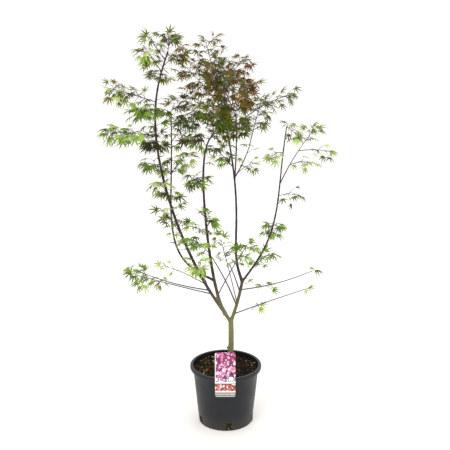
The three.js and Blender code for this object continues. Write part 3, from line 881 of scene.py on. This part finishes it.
trunk_form = {"step": 5, "collar": 0, "knuckle": 60, "swelling": 0.05, "seed": 2}
trunk_points, trunk_radii = strand(wood["trunk"], TRUNK_WIDTHS, **trunk_form)
strands = [strand(wood[row[0]], row[-1], seed=20 + number) for number, row in enumerate(LIMBS)]
print("strands", len(strands), "and a trunk of", len(trunk_points), "points")

# %% [markdown]
# The trunk widens over its roots, so its lowest radii grow. A round tube along each strand could be skinned
# by hand. A curve with a bevel does it in one step: every point has its own radius, and the curve is then
# converted to a mesh.

# %% Root flare and tubes
FLARE, FLARE_SHARE = 0.5, 0.22
for i, point in enumerate(trunk_points):
    share = (point.z - TRUNK_FOOT[2]) / (TRUNK_TIP[2] - TRUNK_FOOT[2])
    trunk_radii[i] *= 1 + FLARE * max(0, 1 - share / FLARE_SHARE) ** 2


def tubes_object(name, strands, resolution):
    """One mesh of round, closed tubes, from strands of points and radii in millimetres."""
    curve = bpy.data.curves.new(name, "CURVE")
    curve.dimensions = "3D"
    curve.bevel_depth = MM
    curve.bevel_resolution = resolution
    curve.use_fill_caps = True
    for points, radii in strands:
        spline = curve.splines.new("POLY")
        spline.points.add(len(points) - 1)
        for point, place, radius in zip(spline.points, points, radii):
            point.co = (*(place * MM), 1)
            point.radius = radius
    obj = bpy.data.objects.new(name, curve)
    bpy.context.scene.collection.objects.link(obj)
    only(obj)
    bpy.ops.object.convert(target="MESH")
    return named(name)


limbs = tubes_object("trunk_and_limbs", [(trunk_points, trunk_radii), *strands], 4)
print("tubes", triangles(limbs), "triangles")

# %% [markdown]
# So far the tubes only pass through each other. A voxel Remesh melts them into one skin, which gives real
# forks, and a short Smooth rounds its steps. Then two passes of relief press in the bark: a slow one for
# dents and a fine one for roughness. The foot is cut flat just under the top of the soil.

# %% One skin, with the bark's relief
apply_modifier(limbs, "REMESH", mode="VOXEL", voxel_size=1.5 * MM)
apply_modifier(limbs, "SMOOTH", factor=0.5, iterations=2)
roughen(limbs, [(14 * MM, 1.0 * MM), (3.5 * MM, 0.5 * MM)], 0.5)
smooth(limbs)
with editing():
    cut = (0, 0, SOIL_TOP - 3 * MM)
    bpy.ops.mesh.bisect(plane_co=cut, plane_no=(0, 0, 1), clear_inner=True, use_fill=True)
print("trunk and limbs", triangles(limbs), "triangles")

# %% [markdown]
# The bark changes with age. The trunk and the first forks are olive and a little streaked, and the younger
# wood above is purple-brown. Object Z, frayed by noise, goes from the one to the other. Pale lenticels, the
# pores of young bark, are small Voronoi spots.

# %% Bark finish
YOUNG_BARK, PORE = (0.039, 0.0222, 0.028), (0.2, 0.17, 0.13, 1)
FRAY, OLD_TO_YOUNG, PORE_EDGE, PORE_SHOW = 0.22, (0.51, 0.74), (0.22, 0.12), (0, 0.3)
bark = finish("maple_bark", (0.165, 0.16, 0.07), (0.6, 0.75), (45.0, 0.35), (260.0, 5.0, 0.55), 0.25)
tree, target, old = colour_of(bark)
place, height = place_on(tree)
frayed = maths(tree, "MULTIPLY_ADD", noise(tree, place, 14.0, 4.0), FRAY, height)
young = mottled(tree, YOUNG_BARK, (60.0, 0.5))["Color"]
aged = blend(tree, remap(tree, frayed, OLD_TO_YOUNG), old, young)
spots = add_node(tree, "ShaderNodeTexVoronoi", [("Vector", place), ("Scale", 170.0)]).outputs["Distance"]
tree.links.new(blend(tree, remap(tree, spots, PORE_EDGE, PORE_SHOW), aged, PORE), target)
limbs.data.materials.append(bark)
print("bark on", limbs.name)

# %% [markdown]
# ## One leaf
# A japanese maple's leaf is a hand of five to seven narrow pointed lobes. All the lobes are alike, so one is
# modelled: a small grid whose rows are pulled to a lance shape, folded along its midrib and bowed down to
# its tip. Turned, scaled copies of it make the leaf. Drawing the whole outline point by point would need
# many more numbers and would look stiffer.

# %% One lobe
LOBE_WIDTH, LOBE_NECK, LOBE_TAPER, FULLEST, ROUNDNESS = 0.09, 0.012, 0.35, 0.8, 0.9


def lobe(angle, length, droop, fold):
    """A lance-shaped lobe from the leaf's heart at the origin, out along +Y, then turned by its angle."""
    squares = {"x_subdivisions": 2, "y_subdivisions": 5, "size": 2}
    blade = started(bpy.ops.mesh.primitive_grid_add, "lobe", **squares)
    for corner in blade.data.vertices:
        side, share = corner.co.x, (corner.co.y + 1) / 2
        lance = LOBE_WIDTH * math.sin(math.pi * share**FULLEST) ** ROUNDNESS * (1 - LOBE_TAPER * share)
        width = lance + LOBE_NECK * (1 - share)
        rise = fold * abs(side) * width * length - droop * length * share**2
        corner.co = (side * width * length, share * length, rise)
    with editing():
        bpy.ops.transform.rotate(value=angle, orient_axis="Z", center_override=(0, 0, 0))
    return blade


trial = lobe(0.0, 1.0, 0.2, 0.4)
print("lobe", triangles(trial), "triangles")
bpy.data.objects.remove(trial)

# %% [markdown]
# Leaves on one plant differ in how far they have opened. Three forms are enough for the eye not to find the
# copies: one spread flat, one half closed with drooping tips, and one that hangs nearly shut. Each is one
# unit long, from its heart to the tip of its middle lobe.

# %% Three forms of leaf
LOBES = [(0, 1.0), (38, 0.93), (75, 0.74), (114, 0.42)]
OUTER_DROOP, DROOP_ANGLE = 0.5, 66


def leaf_form(closing, droop, fold):
    """Seven lobes round the heart, drawn together by `closing`; the outer ones droop more."""
    blades = []
    for angle, length in LOBES:
        for side in (-1, 1) if angle else (1,):
            turn = math.radians(angle * side * closing)
            blades.append(lobe(turn, length, droop * (1 + OUTER_DROOP * angle / DROOP_ANGLE), fold))
    leaf = joined("leaf", blades)
    with editing():
        bpy.ops.mesh.remove_doubles(threshold=0.004)
    return taken_apart(leaf)


OPEN, HALF_OPEN, HANGING = leaf_form(1.0, 0.1, 0.4), leaf_form(0.85, 0.25, 0.5), leaf_form(0.6, 0.34, 0.7)
print("leaf faces", [len(faces) for _, faces in (OPEN, HALF_OPEN, HANGING)])

# %% [markdown]
# ## Leaf finishes
# Autumn has only reached the top of this plant. A colour with a place could be painted by a gradient over
# the crown, but real leaves turn one by one, so each leaf takes one of ten plain tints by its spray. Two of
# them, dark and dark_red, are partly the leaves' own deep colour and partly painted shade. Every tint gets
# the same mottling, slow enough to set leaf off from leaf, a soft sheen, and a fine bump for veins.

# %% Leaf tints
TINTS = {
    "pale": (0.42, 0.49, 0.17),
    "light": (0.27, 0.41, 0.08),
    "fresh": (0.15, 0.26, 0.024),
    "mid": (0.088, 0.143, 0.02),
    # dark is partly painted shade: a darker copy of the greens for leaves in the crown's shadow
    "dark": (0.045, 0.056, 0.01),
    "olive": (0.11, 0.112, 0.01),
    "bronze": (0.14, 0.095, 0.018),
    "red_brown": (0.15, 0.07, 0.02),
    # dark_red is partly painted shade: a darker copy of the browns for leaves in the crown's shadow
    "dark_red": (0.045, 0.028, 0.012),
    "orange": (0.31, 0.14, 0.045),
}
TINT_NUMBERS = {name: number for number, name in enumerate(TINTS)}
leaf_finishes = [
    finish(f"leaf_{name}", colour, (0.5, 0.65), (28.0, 0.9), (300.0, 1.0, 0.3), 0.14)
    for name, colour in TINTS.items()
]
print("tints", len(leaf_finishes))

# %% [markdown]
# A palette is the handful of tints that one spray's leaves are dealt from, and a tint that comes twice is
# dealt twice as often. Low sprays are fresh green, and those at the top run from olive to red-brown. The
# dark and dark_red tints are partly the leaves' own deeper colour and partly painted shade: darker copies of
# the greens and browns, dealt most to the shaded sprays inside the crown. `turning` is a green spray with a
# single leaf caught by autumn.

# %% Palettes
PALETTES = {
    "bright": "fresh fresh light mid fresh",
    "spring": "light fresh light mid fresh",
    "turning": "fresh light orange fresh" + " fresh fresh light mid" * 2,
    "green": "mid mid fresh light dark",
    "yellow": "light pale light fresh",
    "lime": "pale light light",
    "faded": "pale light mid",
    "mixed": "mid pale light dark",
    "soft": "olive pale mid olive fresh",
    "khaki": "bronze olive pale olive mid",
    "deep": "dark mid mid olive",
    # painted shade: mostly dark tints, for a spray deep inside the crown
    "shade": "dark dark_red mid dark",
    "wine": "dark_red dark dark_red light dark_red",
    "dusk": "dark_red dark fresh mid",
    "moss": "olive mid olive olive mid",
    "olive": "olive dark bronze olive bronze mid",
    "bronze": "bronze olive red_brown olive",
    "brown": "bronze dark_red red_brown olive",
    "russet": "red_brown bronze red_brown olive red_brown",
    "ember": "orange bronze orange red_brown olive",
}
palettes = {name: [TINT_NUMBERS[tint] for tint in tints.split()] for name, tints in PALETTES.items()}
print("palettes", len(palettes))

# %% [markdown]
# ## The sprays
# A spray is one side shoot with its leaves, and the CAD has one solid for each. The rows say, in
# millimetres: name, the limb it grows from and how far up that, the place of its tip, the leafless share of
# its stem, its pairs of side twigs, their length, the length of the CAD's leaf blade, the rise of its
# middle. The last five are this script's own: its palette, the size of its leaves, how many times closer its
# twigs stand than the CAD's, the leaves at a twig's end, and the spurs on the limb about its foot.

# %% The spray rows
Spray = namedtuple("Spray", "name limb share tip bare pairs twig blade rise palette size density tuft spurs")
SPRAYS = [
    ("top_left", "left_limb", 1, (-202, -10, 1507), 0.1, 2, 36, 54, 0, "soft", 0.85, 3, 3, 9),
    ("left_tip", "left_limb", 0.96, (-268, -70, 1507), 0.3, 2, 28, 56, 0, "soft", 0.85, 2, 2, 16),
    ("left_shoulder", "left_limb", 0.91, (-281, -100, 1462), 0.3, 3, 0, 58, 6, "soft", 0.85, 2, 2, 14),
    ("left_inner", "left_limb", 0.93, (-159, -40, 1450), 0.3, 3, 0, 56, 8, "khaki", 0.85, 2, 2, 9),
    ("upper_arm", "left_limb", 0.79, (-405, -60, 1329), 0.15, 4, 0, 60, 2, "soft", 0.82, 3, 2, 8),
    ("left_face", "left_limb", 0.745, (-312, -120, 1263), 0.3, 3, 0, 60, 8, "bright", 1.0, 2, 2, 18),
    ("lower_arm", "left_limb", 0.675, (-428, 40, 1154), 0.35, 4, 0, 62, 6, "bright", 1.05, 2, 2, 6),
    ("left_front", "left_limb", 0.65, (-259, -150, 1158), 0.3, 3, 0, 60, 6, "wine", 1.05, 2, 2, 7),
    ("left_low_front", "left_limb", 0.58, (-270, -130, 1072), 0.3, 3, 0, 56, 6, "deep", 1.0, 1, 2, 5),
    ("left_low", "left_limb", 0.48, (-232, -140, 1001), 0.3, 3, 0, 54, 6, "mixed", 0.9, 1, 2, 15),
    ("left_knee", "left_limb", 0.38, (-238, 20, 859), 0.4, 2, 0, 54, 4, "mixed", 0.95, 1, 2, 14),
    ("outer_top", "outer_limb", 1, (-145, 190, 1265), 0.1, 2, 40, 60, 0, "deep", 0.9, 2, 2, 10),
    ("outer_inner", "outer_limb", 0.925, (-135, 130, 1200), 0.3, 3, 0, 60, 6, "shade", 1.0, 2, 2, 9),
    ("outer_back", "outer_limb", 0.86, (-170, 300, 1120), 0.3, 2, 38, 60, 8, "bright", 0.95, 1, 3, 5),
    ("outer_low", "outer_limb", 0.72, (-151, 160, 1048), 0.3, 3, 0, 58, 6, "mixed", 0.95, 1, 2, 9),
    ("middle_tip", "middle_limb", 1, (-45, -180, 1265), 0.1, 3, 42, 60, 0, "moss", 0.95, 3, 3, 16),
    ("middle_top", "middle_limb", 0.93, (-115, -190, 1165), 0.35, 3, 0, 58, 6, "dusk", 0.95, 1, 2, 7),
    ("middle_left", "middle_limb", 0.67, (-114, -140, 1012), 0.4, 3, 0, 58, 6, "green", 1.0, 1, 2, 3),
    ("middle_low", "middle_limb", 0.47, (-123, -130, 839), 0.35, 3, 0, 54, 6, "spring", 0.85, 2, 2, 14),
    ("middle_right", "middle_limb", 0.5, (-65, -130, 872), 0.35, 3, 0, 56, 6, "spring", 0.95, 1, 2, 4),
    ("middle_foot", "middle_limb", 0.4, (-119, -140, 792), 0.4, 3, 0, 58, 6, "spring", 0.85, 2, 2, 6),
    ("upright", "left_limb", 0.165, (-102, -140, 708), 0.75, 2, 0, 54, 0, "lime", 1.15, 1, 3, 1),
    ("low_side", "left_limb", 0.2, (-235, 30, 636), 0.6, 3, 0, 52, 6, "faded", 0.8, 1, 1, 0),
    ("low_left", "left_limb", 0.155, (-328, -160, 665), 0.6, 2, 26, 54, -2, "turning", 0.95, 1, 3, 0),
    ("low_left_back", "left_limb", 0.172, (-373, 150, 583), 0.6, 2, 26, 56, -12, "yellow", 0.95, 1, 2, 0),
    ("low_front", "left_limb", 0.125, (76, -170, 782), 0.65, 3, 0, 54, 8, "bright", 0.95, 1, 3, 0),
    ("inner_back", "right_limb", 0.45, (-20, 150, 705), 0.6, 3, 0, 56, 8, "bright", 0.9, 1, 2, 0),
    ("low_right", "right_bough", 0.03, (172, 150, 645), 0.4, 3, 0, 56, 8, "bright", 0.9, 1, 3, 3),
    ("long_right_back", "right_limb", 0.78, (350, 170, 568), 0.02, 1, 0, 42, -12, "bright", 1.1, 1, 3, 0),
    ("long_right_front", "right_limb", 0.19, (295, -150, 607), 0.02, 1, 0, 42, 2, "lime", 0.75, 1, 2, 0),
    ("right_low", "right_bough", 0.43, (179, 60, 765), 0.3, 3, 0, 54, 4, "bright", 0.88, 1, 2, 4),
    ("right_middle", "right_bough", 0.58, (250, -110, 955), 0.3, 3, 0, 50, 4, "mixed", 0.75, 1, 1, 0),
    ("fork_left", "centre_limb", 0.74, (-43, -30, 1111), 0.35, 3, 0, 52, 4, "green", 0.95, 1, 2, 7),
    ("crown_top", "centre_limb", 1, (-74, 130, 1477), 0.1, 3, 50, 60, 0, "bronze", 0.75, 2, 2, 6),
    ("crown_right", "centre_limb", 0.97, (59, 40, 1422), 0.25, 3, 48, 60, 8, "brown", 0.7, 2, 2, 4),
    ("crown_left", "centre_limb", 0.925, (-142, 50, 1392), 0.25, 3, 36, 60, 8, "russet", 0.8, 2, 3, 12),
    ("crown_back", "centre_limb", 0.875, (-10, 280, 1355), 0.25, 3, 50, 60, 10, "olive", 0.85, 3, 3, 24),
    ("crown_front", "centre_front_limb", 0.9, (-45, -120, 1410), 0.25, 3, 48, 60, 8, "olive", 0.9, 3, 3, 34),
    ("crown_face", "centre_front_limb", 1, (67, -100, 1341), 0.1, 3, 46, 60, 0, "ember", 0.85, 3, 3, 8),
    ("fork_right", "centre_back_limb", 0.15, (105, 130, 1020), 0.4, 2, 0, 52, 6, "faded", 0.75, 1, 1, 0),
    ("arching", "centre_front_limb", 0.8, (230, 0, 1300), 0.3, 4, 0, 54, 15, "moss", 0.85, 2, 1, 36),
    ("back_right", "centre_back_limb", 0.95, (140, 200, 1256), 0.25, 3, 40, 60, 10, "moss", 0.8, 2, 2, 2),
    ("right_front", "right_bough", 0.84, (161, -180, 1110), 0.35, 3, 0, 52, 6, "yellow", 0.7, 1, 1, 0),
    ("right_tip", "right_bough", 1, (246, -150, 1183), 0.1, 3, 0, 52, 0, "mixed", 0.75, 1, 1, 2),
    ("right_outer", "right_outer_limb", 1, (330, 60, 1162), 0.1, 3, 0, 56, 0, "bright", 0.85, 1, 2, 4),
    ("right_edge", "right_outer_limb", 0.8, (380, -20, 1095), 0.35, 3, 0, 52, 6, "mixed", 0.75, 1, 1, 0),
    ("right_hanging", "right_outer_limb", 0.45, (295, -120, 1075), 0.35, 3, 0, 50, 6, "faded", 0.75, 1, 1, 0),
]
sprays = [Spray(*row) for row in SPRAYS]
stems = [bowed_line(wood[row.limb](row.share), row.tip, (0, 0, row.rise)) for row in sprays]
print("sprays", len(sprays))

# %% [markdown]
# The source's rule keeps each spray to its own space: within reach of its stem, nearer to it than to any
# other stem, and off the bark. With a thousand leaves that is a lot of distances, so all the stems' short
# pieces are kept in arrays and numpy measures a leaf's tips against all of them at once. What a spray's
# leaves and twigs need to know travels with them as its habit.

# %% Keeping to one's space
STEM_PIECES, MARGIN, LIMB_CLEARANCE = 6, 3.0, 4.0
Habit = namedtuple("Habit", "number reach tints size draw")


def pieces_of(lines, count):
    """Starts and ends of the short straight pieces that some lines are cut into."""
    places = np.array([[at(i / count) for i in range(count + 1)] for at in lines])
    return places[:, :-1].reshape(-1, 3), places[:, 1:].reshape(-1, 3)


def distances(points, starts, ends):
    """The distance of each point to each piece."""
    along = ends - starts
    offset = points[:, None, :] - starts[None]
    share = np.clip((offset * along).sum(-1) / (along**2).sum(-1), 0, 1)
    return np.linalg.norm(offset - share[..., None] * along, axis=-1)


stem_pieces = pieces_of(stems, STEM_PIECES)
limb_pieces = pieces_of(wood.values(), LIMB_PIECES)
limb_radii = np.repeat([widths[0] / 2 for widths in wood_widths.values()], LIMB_PIECES)


def keeps_to_space(points, habit):
    """Whether all the points stay in the space of the spray with this habit."""
    points = np.array(points)
    to_stems = distances(points, *stem_pieces).reshape(len(points), len(stems), STEM_PIECES).min(-1)
    own = to_stems[:, habit.number].copy()
    to_stems[:, habit.number] = np.inf
    to_limbs = distances(points, *limb_pieces) - limb_radii
    alone = (to_stems.min(1) > own + MARGIN).all()
    return bool((own <= habit.reach).all() and alone and (to_limbs > LIMB_CLEARANCE).all())


print("stem pieces", len(stem_pieces[0]), "limb pieces", len(limb_pieces[0]))

# %% [markdown]
# Twigs leave their stem in pairs, each pair a quarter turn on from the last, and leaves leave a twig the same
# way, as on every maple. The directions come from two helpers: one turns a heading towards another that is
# square to it, the other gives the level and the upright direction square to a heading.

# %% Directions
UP = Vector((0, 0, 1))


def turned_to(heading, other, degrees):
    """A heading turned towards another that is square to it."""
    turn = math.radians(degrees)
    return heading * math.cos(turn) + other * math.sin(turn)


def heading_at(at, share):
    """The unit direction of a line at a share of its way."""
    return (at(min(1, share + 0.01)) - at(max(0, share - 0.01))).normalized()


def sideways(heading):
    """Two unit directions square to a heading, the first one level."""
    level = heading.cross(UP).normalized()
    return level, level.cross(heading)


print("up from +X:", sideways(Vector((1, 0, 0)))[1])

# %% [markdown]
# One leaf: its stalk arches out of the wood, and the blade hangs from the stalk's end. Its hang, its roll and
# its sizes are drawn again if it would leave its space, and after three tries it is given up, as in the
# source. A leaf that hangs more is more often one of the closed forms.

# %% Growing a leaf
BLADE, STALK, STALK_RADII = (30.0, 45.0), (14, 30), [0.8, 0.65, 0.6]
HANG, ROLL, ATTEMPTS = (-0.2, 1.0), 50, 3
TIPS, TIP_DROOP, STALK_HANG, STALK_ARCH = ((0, 1), (0.5, 0.75), (-0.5, 0.75)), -0.1, 0.25, 0.08
OPEN_SHARE, HALF_OPEN_SHARE, CLOSING = 0.5, 0.88, 0.15
stalks, given_up = [], []
leaves = [[] for _ in sprays]


def grow_leaf(root, heading, habit):
    """A stalk and a blade, in the spray's own space."""
    draw = habit.draw
    for _ in range(ATTEMPTS):
        hang, roll = draw(*HANG), math.radians(draw(-ROLL, ROLL))
        blade, stalk = habit.size * draw(*BLADE), habit.size * draw(*STALK)
        heart = root + (heading - UP * hang * STALK_HANG).normalized() * stalk
        along = (heading - UP * hang).normalized()
        across = along.cross(UP).normalized()
        turn = Matrix((across, along, across.cross(along))).transposed().to_4x4()
        turn = turn @ Matrix.Rotation(roll, 4, "Y")
        tips = [turn @ Vector((x * blade, y * blade, TIP_DROOP * blade)) + heart for x, y in TIPS]
        if keeps_to_space(tips, habit):
            break
    else:
        given_up.append(habit.number)
        return
    pick = draw() + CLOSING * hang
    form = OPEN if pick < OPEN_SHARE else HALF_OPEN if pick < HALF_OPEN_SHARE else HANGING
    tint = habit.tints[int(draw(0, len(habit.tints)))]
    middle = root.lerp(heart, 0.5) + UP * STALK_ARCH * stalk
    stalks.append(([root, middle, heart], STALK_RADII))
    place = Matrix.Translation(heart * MM) @ turn @ Matrix.Diagonal((blade * MM,) * 3).to_4x4()
    leaves[habit.number].append((*form, place, tint))


print("blades from", *BLADE, "mm")

# %% [markdown]
# A tuft is what stands at a shoot's end: a leaf to each side and, in a full tuft, one straight on. A twig
# bows a little under its leaves. By its length it carries two pairs of them, the second a quarter turn on
# from the first, or one pair, or only its tuft.

# %% Growing a tuft and a twig
FORK, FORK_SPREAD, LEAF_FORK, LEAF_FORK_SPREAD, TUFT_DEPTH = 52, 8, 46, (-10, 14), 2
TWIG_DROOP, TWIG_ARCH, TWIG_RADII = 0.06, 0.07, [1.15, 1.05, 1.0, 0.9, 0.85]
PAIR_PLACES = [(38, (0.36, 0.68)), (26, (0.5,)), (0, ())]
shoots = []


def grow_tuft(tip, heading, count, habit):
    """Up to three leaves at the end of a shoot."""
    level, _ = sideways(heading)
    if count != 2:
        grow_leaf(tip, heading, habit)
    if count >= 2:
        for side in (-1, 1):
            out = turned_to(heading, level * side, LEAF_FORK + habit.draw(*LEAF_FORK_SPREAD))
            grow_leaf(tip - heading * TUFT_DEPTH, out, habit)


def grow_twig(root, heading, length, tuft, habit):
    """A side twig with its pairs of leaves, and a tuft at its tip."""
    tip = root + heading * length - UP * TWIG_DROOP * length
    if not keeps_to_space([root.lerp(tip, 0.6), tip], habit):
        return
    at = bowed_line(root, tip, UP * TWIG_ARCH * length)
    shoots.append(([at(i / 4) for i in range(5)], TWIG_RADII))
    for share in next(shares for least, shares in PAIR_PLACES if length > least):
        along = heading_at(at, share)
        level, lift = sideways(along)
        out = lift if share > 0.5 else level
        for side in (-1, 1):
            fork = FORK + habit.draw(-FORK_SPREAD, FORK_SPREAD)
            grow_leaf(at(share), turned_to(along, out * side, fork), habit)
    grow_tuft(tip, heading_at(at, 1), tuft, habit)


print("fork", FORK, "degrees")

# %% [markdown]
# Spurs stand on the limb about a spray's foot, as they do on any limb that has been carrying leaves for some
# years. They could be rows like the sprays, but there are hundreds of them, so a spray only says how many it
# has, and each is a short twig that leaves the limb to any side.

# %% Growing the spurs
SPUR, SPUR_SPREAD, SPUR_LEAN, LAST_SPUR = (16.0, 34.0), 62.0, 62, 0.98


def grow_spurs(row, habit):
    """Short twigs on a limb, on any side of it, on both sides of a spray's foot."""
    bough = wood[row.limb]
    length = (bough(1) - bough(0)).length
    for _ in range(row.spurs):
        place = min(row.share + habit.draw(-SPUR_SPREAD, SPUR_SPREAD) / length, LAST_SPUR)
        along = heading_at(bough, place)
        out = turned_to(*sideways(along), habit.draw(0, 360))
        grow_twig(bough(place), turned_to(along, out, SPUR_LEAN), habit.draw(*SPUR), 2, habit)


print("spurs", sum(row.spurs for row in sprays))

# %% [markdown]
# Now every spray grows: its stem from the limb, its pairs of twigs in the source's places, with finer ones
# between them where the crown is close, and a tuft at its tip. Where the source has a leaf straight on the
# stem, a short twig stands here, as on the real plant. Each spray has a draw of its own, so that a change
# to one row leaves the others as they are.

# %% Growing the sprays
SEED, PAIR_PLACE, STAGGER, SIDE_TWIG = 11, 0.3, 4.0, 24.0
TURN_SPREAD, TWIG_SPREAD, LEAF_REACH = 20, (0.4, 1.1), (1.08, 17.0)
STEM_STEP, STEM_RADIUS, STEM_GROWTH, STEM_TAPER = 12, 1.3, 240, 0.45


def stem_strand(at, length):
    """A spray's stem: the longer it is, the thicker, and it thins to its tip."""
    steps = max(6, round(length / STEM_STEP))
    thick = STEM_RADIUS + length / STEM_GROWTH
    points = [at(i / steps) for i in range(steps + 1)]
    return points, [thick * (1 - STEM_TAPER * i / steps) for i in range(steps + 1)]


def grow_spray(number, row):
    """A stem, its pairs of twigs, the tuft at its tip, and the spurs about its foot."""
    draw, at = seeded(SEED + number), stems[number]
    longest, stalk = LEAF_REACH
    habit = Habit(number, row.twig + longest * (stalk + row.blade), palettes[row.palette], row.size, draw)
    length = (Vector(row.tip) - at(0)).length
    shoots.append(stem_strand(at, length))
    for pair in range(row.pairs * row.density):
        station = row.bare + (1 - row.bare) * (pair + PAIR_PLACE) / row.pairs / row.density
        turn = (pair % 2) * 90 + draw(-TURN_SPREAD, TURN_SPREAD)
        for side in (-1, 1):
            place = station + side * STAGGER / length / 2
            along = heading_at(at, place)
            level, lift = sideways(along)
            out = turned_to(level * side, lift * side, turn)
            heading = turned_to(along, out, FORK + draw(-FORK_SPREAD, FORK_SPREAD))
            grow_twig(at(place), heading, (row.twig or SIDE_TWIG) * draw(*TWIG_SPREAD), row.tuft, habit)
    grow_tuft(at(1), heading_at(at, 1), 3, habit)
    grow_spurs(row, habit)


for number, row in enumerate(sprays):
    grow_spray(number, row)
print("leaves", sum(map(len, leaves)), "given up", len(given_up), "shoots", len(shoots))

# %% [markdown]
# Low on the trunk stands the stub of an old shoot. Two bare whips cross inside the fork: last year's shoots
# that have lost their leaves for want of light. None of them carries anything, so they need no space of
# their own.

# %% Stub and bare whips
STUB_PLACE, STUB_LENGTH, STUB_LEAN, STUB_WIDTHS = 0.34, 23, 0.66, (9, 7.5)
WHIPS = [("right_limb", 0.4, (-54, 60, 663), (6, 0, 0)), ("right_limb", 0.72, (15, 60, 632), (2, 0, 0))]
WHIP_RADIUS, WHIP_TAPER, WHIP_STEPS = 3.3, 0.14, 8
stub_foot = wood["trunk"](STUB_PLACE)
stub_tip = stub_foot + Vector((-STUB_LENGTH * math.sin(STUB_LEAN), 0, STUB_LENGTH * math.cos(STUB_LEAN)))
shoots.insert(0, strand(bowed_line(stub_foot, stub_tip), STUB_WIDTHS, step=3, swelling=0))
for limb, share, tip, bow in WHIPS:
    at = bowed_line(wood[limb](share), tip, bow)
    points = [at(i / WHIP_STEPS) for i in range(WHIP_STEPS + 1)]
    shoots.append((points, [WHIP_RADIUS - WHIP_TAPER * i for i in range(WHIP_STEPS + 1)]))
print("whips", len(WHIPS))

# %% [markdown]
# The leaves are joined into four pieces by the part of the crown they stand in, so that no piece grows too
# large, and the shoots and stalks into two more. Each piece of leaves stands for the CAD sprays it covers.

# %% Joining the leaves
CROWN_PARTS = {
    "left_crown_leaves": ("left_limb", "outer_limb"),
    "middle_crown_leaves": ("middle_limb", "right_limb"),
    "central_crown_leaves": ("centre_limb", "centre_front_limb", "centre_back_limb"),
    "right_crown_leaves": ("right_bough", "right_outer_limb"),
}
leaf_pieces = {}
for piece_name, carriers in CROWN_PARTS.items():
    numbers = [number for number, row in enumerate(sprays) if row.limb in carriers]
    copies = [leaf for number in numbers for leaf in leaves[number]]
    piece = copies_mesh(piece_name, copies, leaf_finishes)
    smooth(piece)
    leaf_pieces[piece] = [sprays[number].name + "_spray" for number in numbers]
    print(piece_name, len(copies), "leaves,", triangles(piece), "triangles, for", len(numbers), "sprays")

# %% [markdown]
# Shoots are wood of this year and the last: smooth, and more purple than the limbs. Leaf stalks are thinner
# and reddish. Both are tubes again, with fewer sides than the limbs, because they are only a few millimetres
# thick.

# %% Shoots and stalks
shoots_piece = tubes_object("shoots", shoots, 1)
stalks_piece = tubes_object("leaf_stalks", stalks, 0)
for piece, finish_name, colour in (
    (shoots_piece, "shoot_bark", (0.085, 0.063, 0.1)),
    (stalks_piece, "stalk_skin", (0.16, 0.1, 0.05)),
):
    piece.data.materials.append(finish(finish_name, colour, (0.45, 0.6), (70.0, 0.4), (500.0, 4.0, 0.3)))
    smooth(piece)
    print(piece.name, triangles(piece), "triangles")

# %% [markdown]
# ## Riding and standing for
# Each piece rides on the model's one body and names the CAD nodes it stands for, which are then hidden but
# still carry the collision.

# %% Ride, replace, and measure
def dress(piece, slot, *nodes):
    """Puts a piece on the body and lets it stand for nodes; the slot is not used."""
    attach(piece, "root")
    if nodes:
        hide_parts(*nodes)


dress(pot, "pot", "pot")
dress(soil, "soil", "soil")
dress(soil_chips, "soil")
dress(label, "label", "label")
dress(limbs, "limb_bark", "trunk", *(row[0] for row in LIMBS))
dress(shoots_piece, "limb_bark")
dress(stalks_piece, "foliage")
for piece, stood_for in leaf_pieces.items():
    dress(piece, "foliage", *stood_for)
total = sum(triangles(obj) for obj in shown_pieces())
print("triangles in all", total)
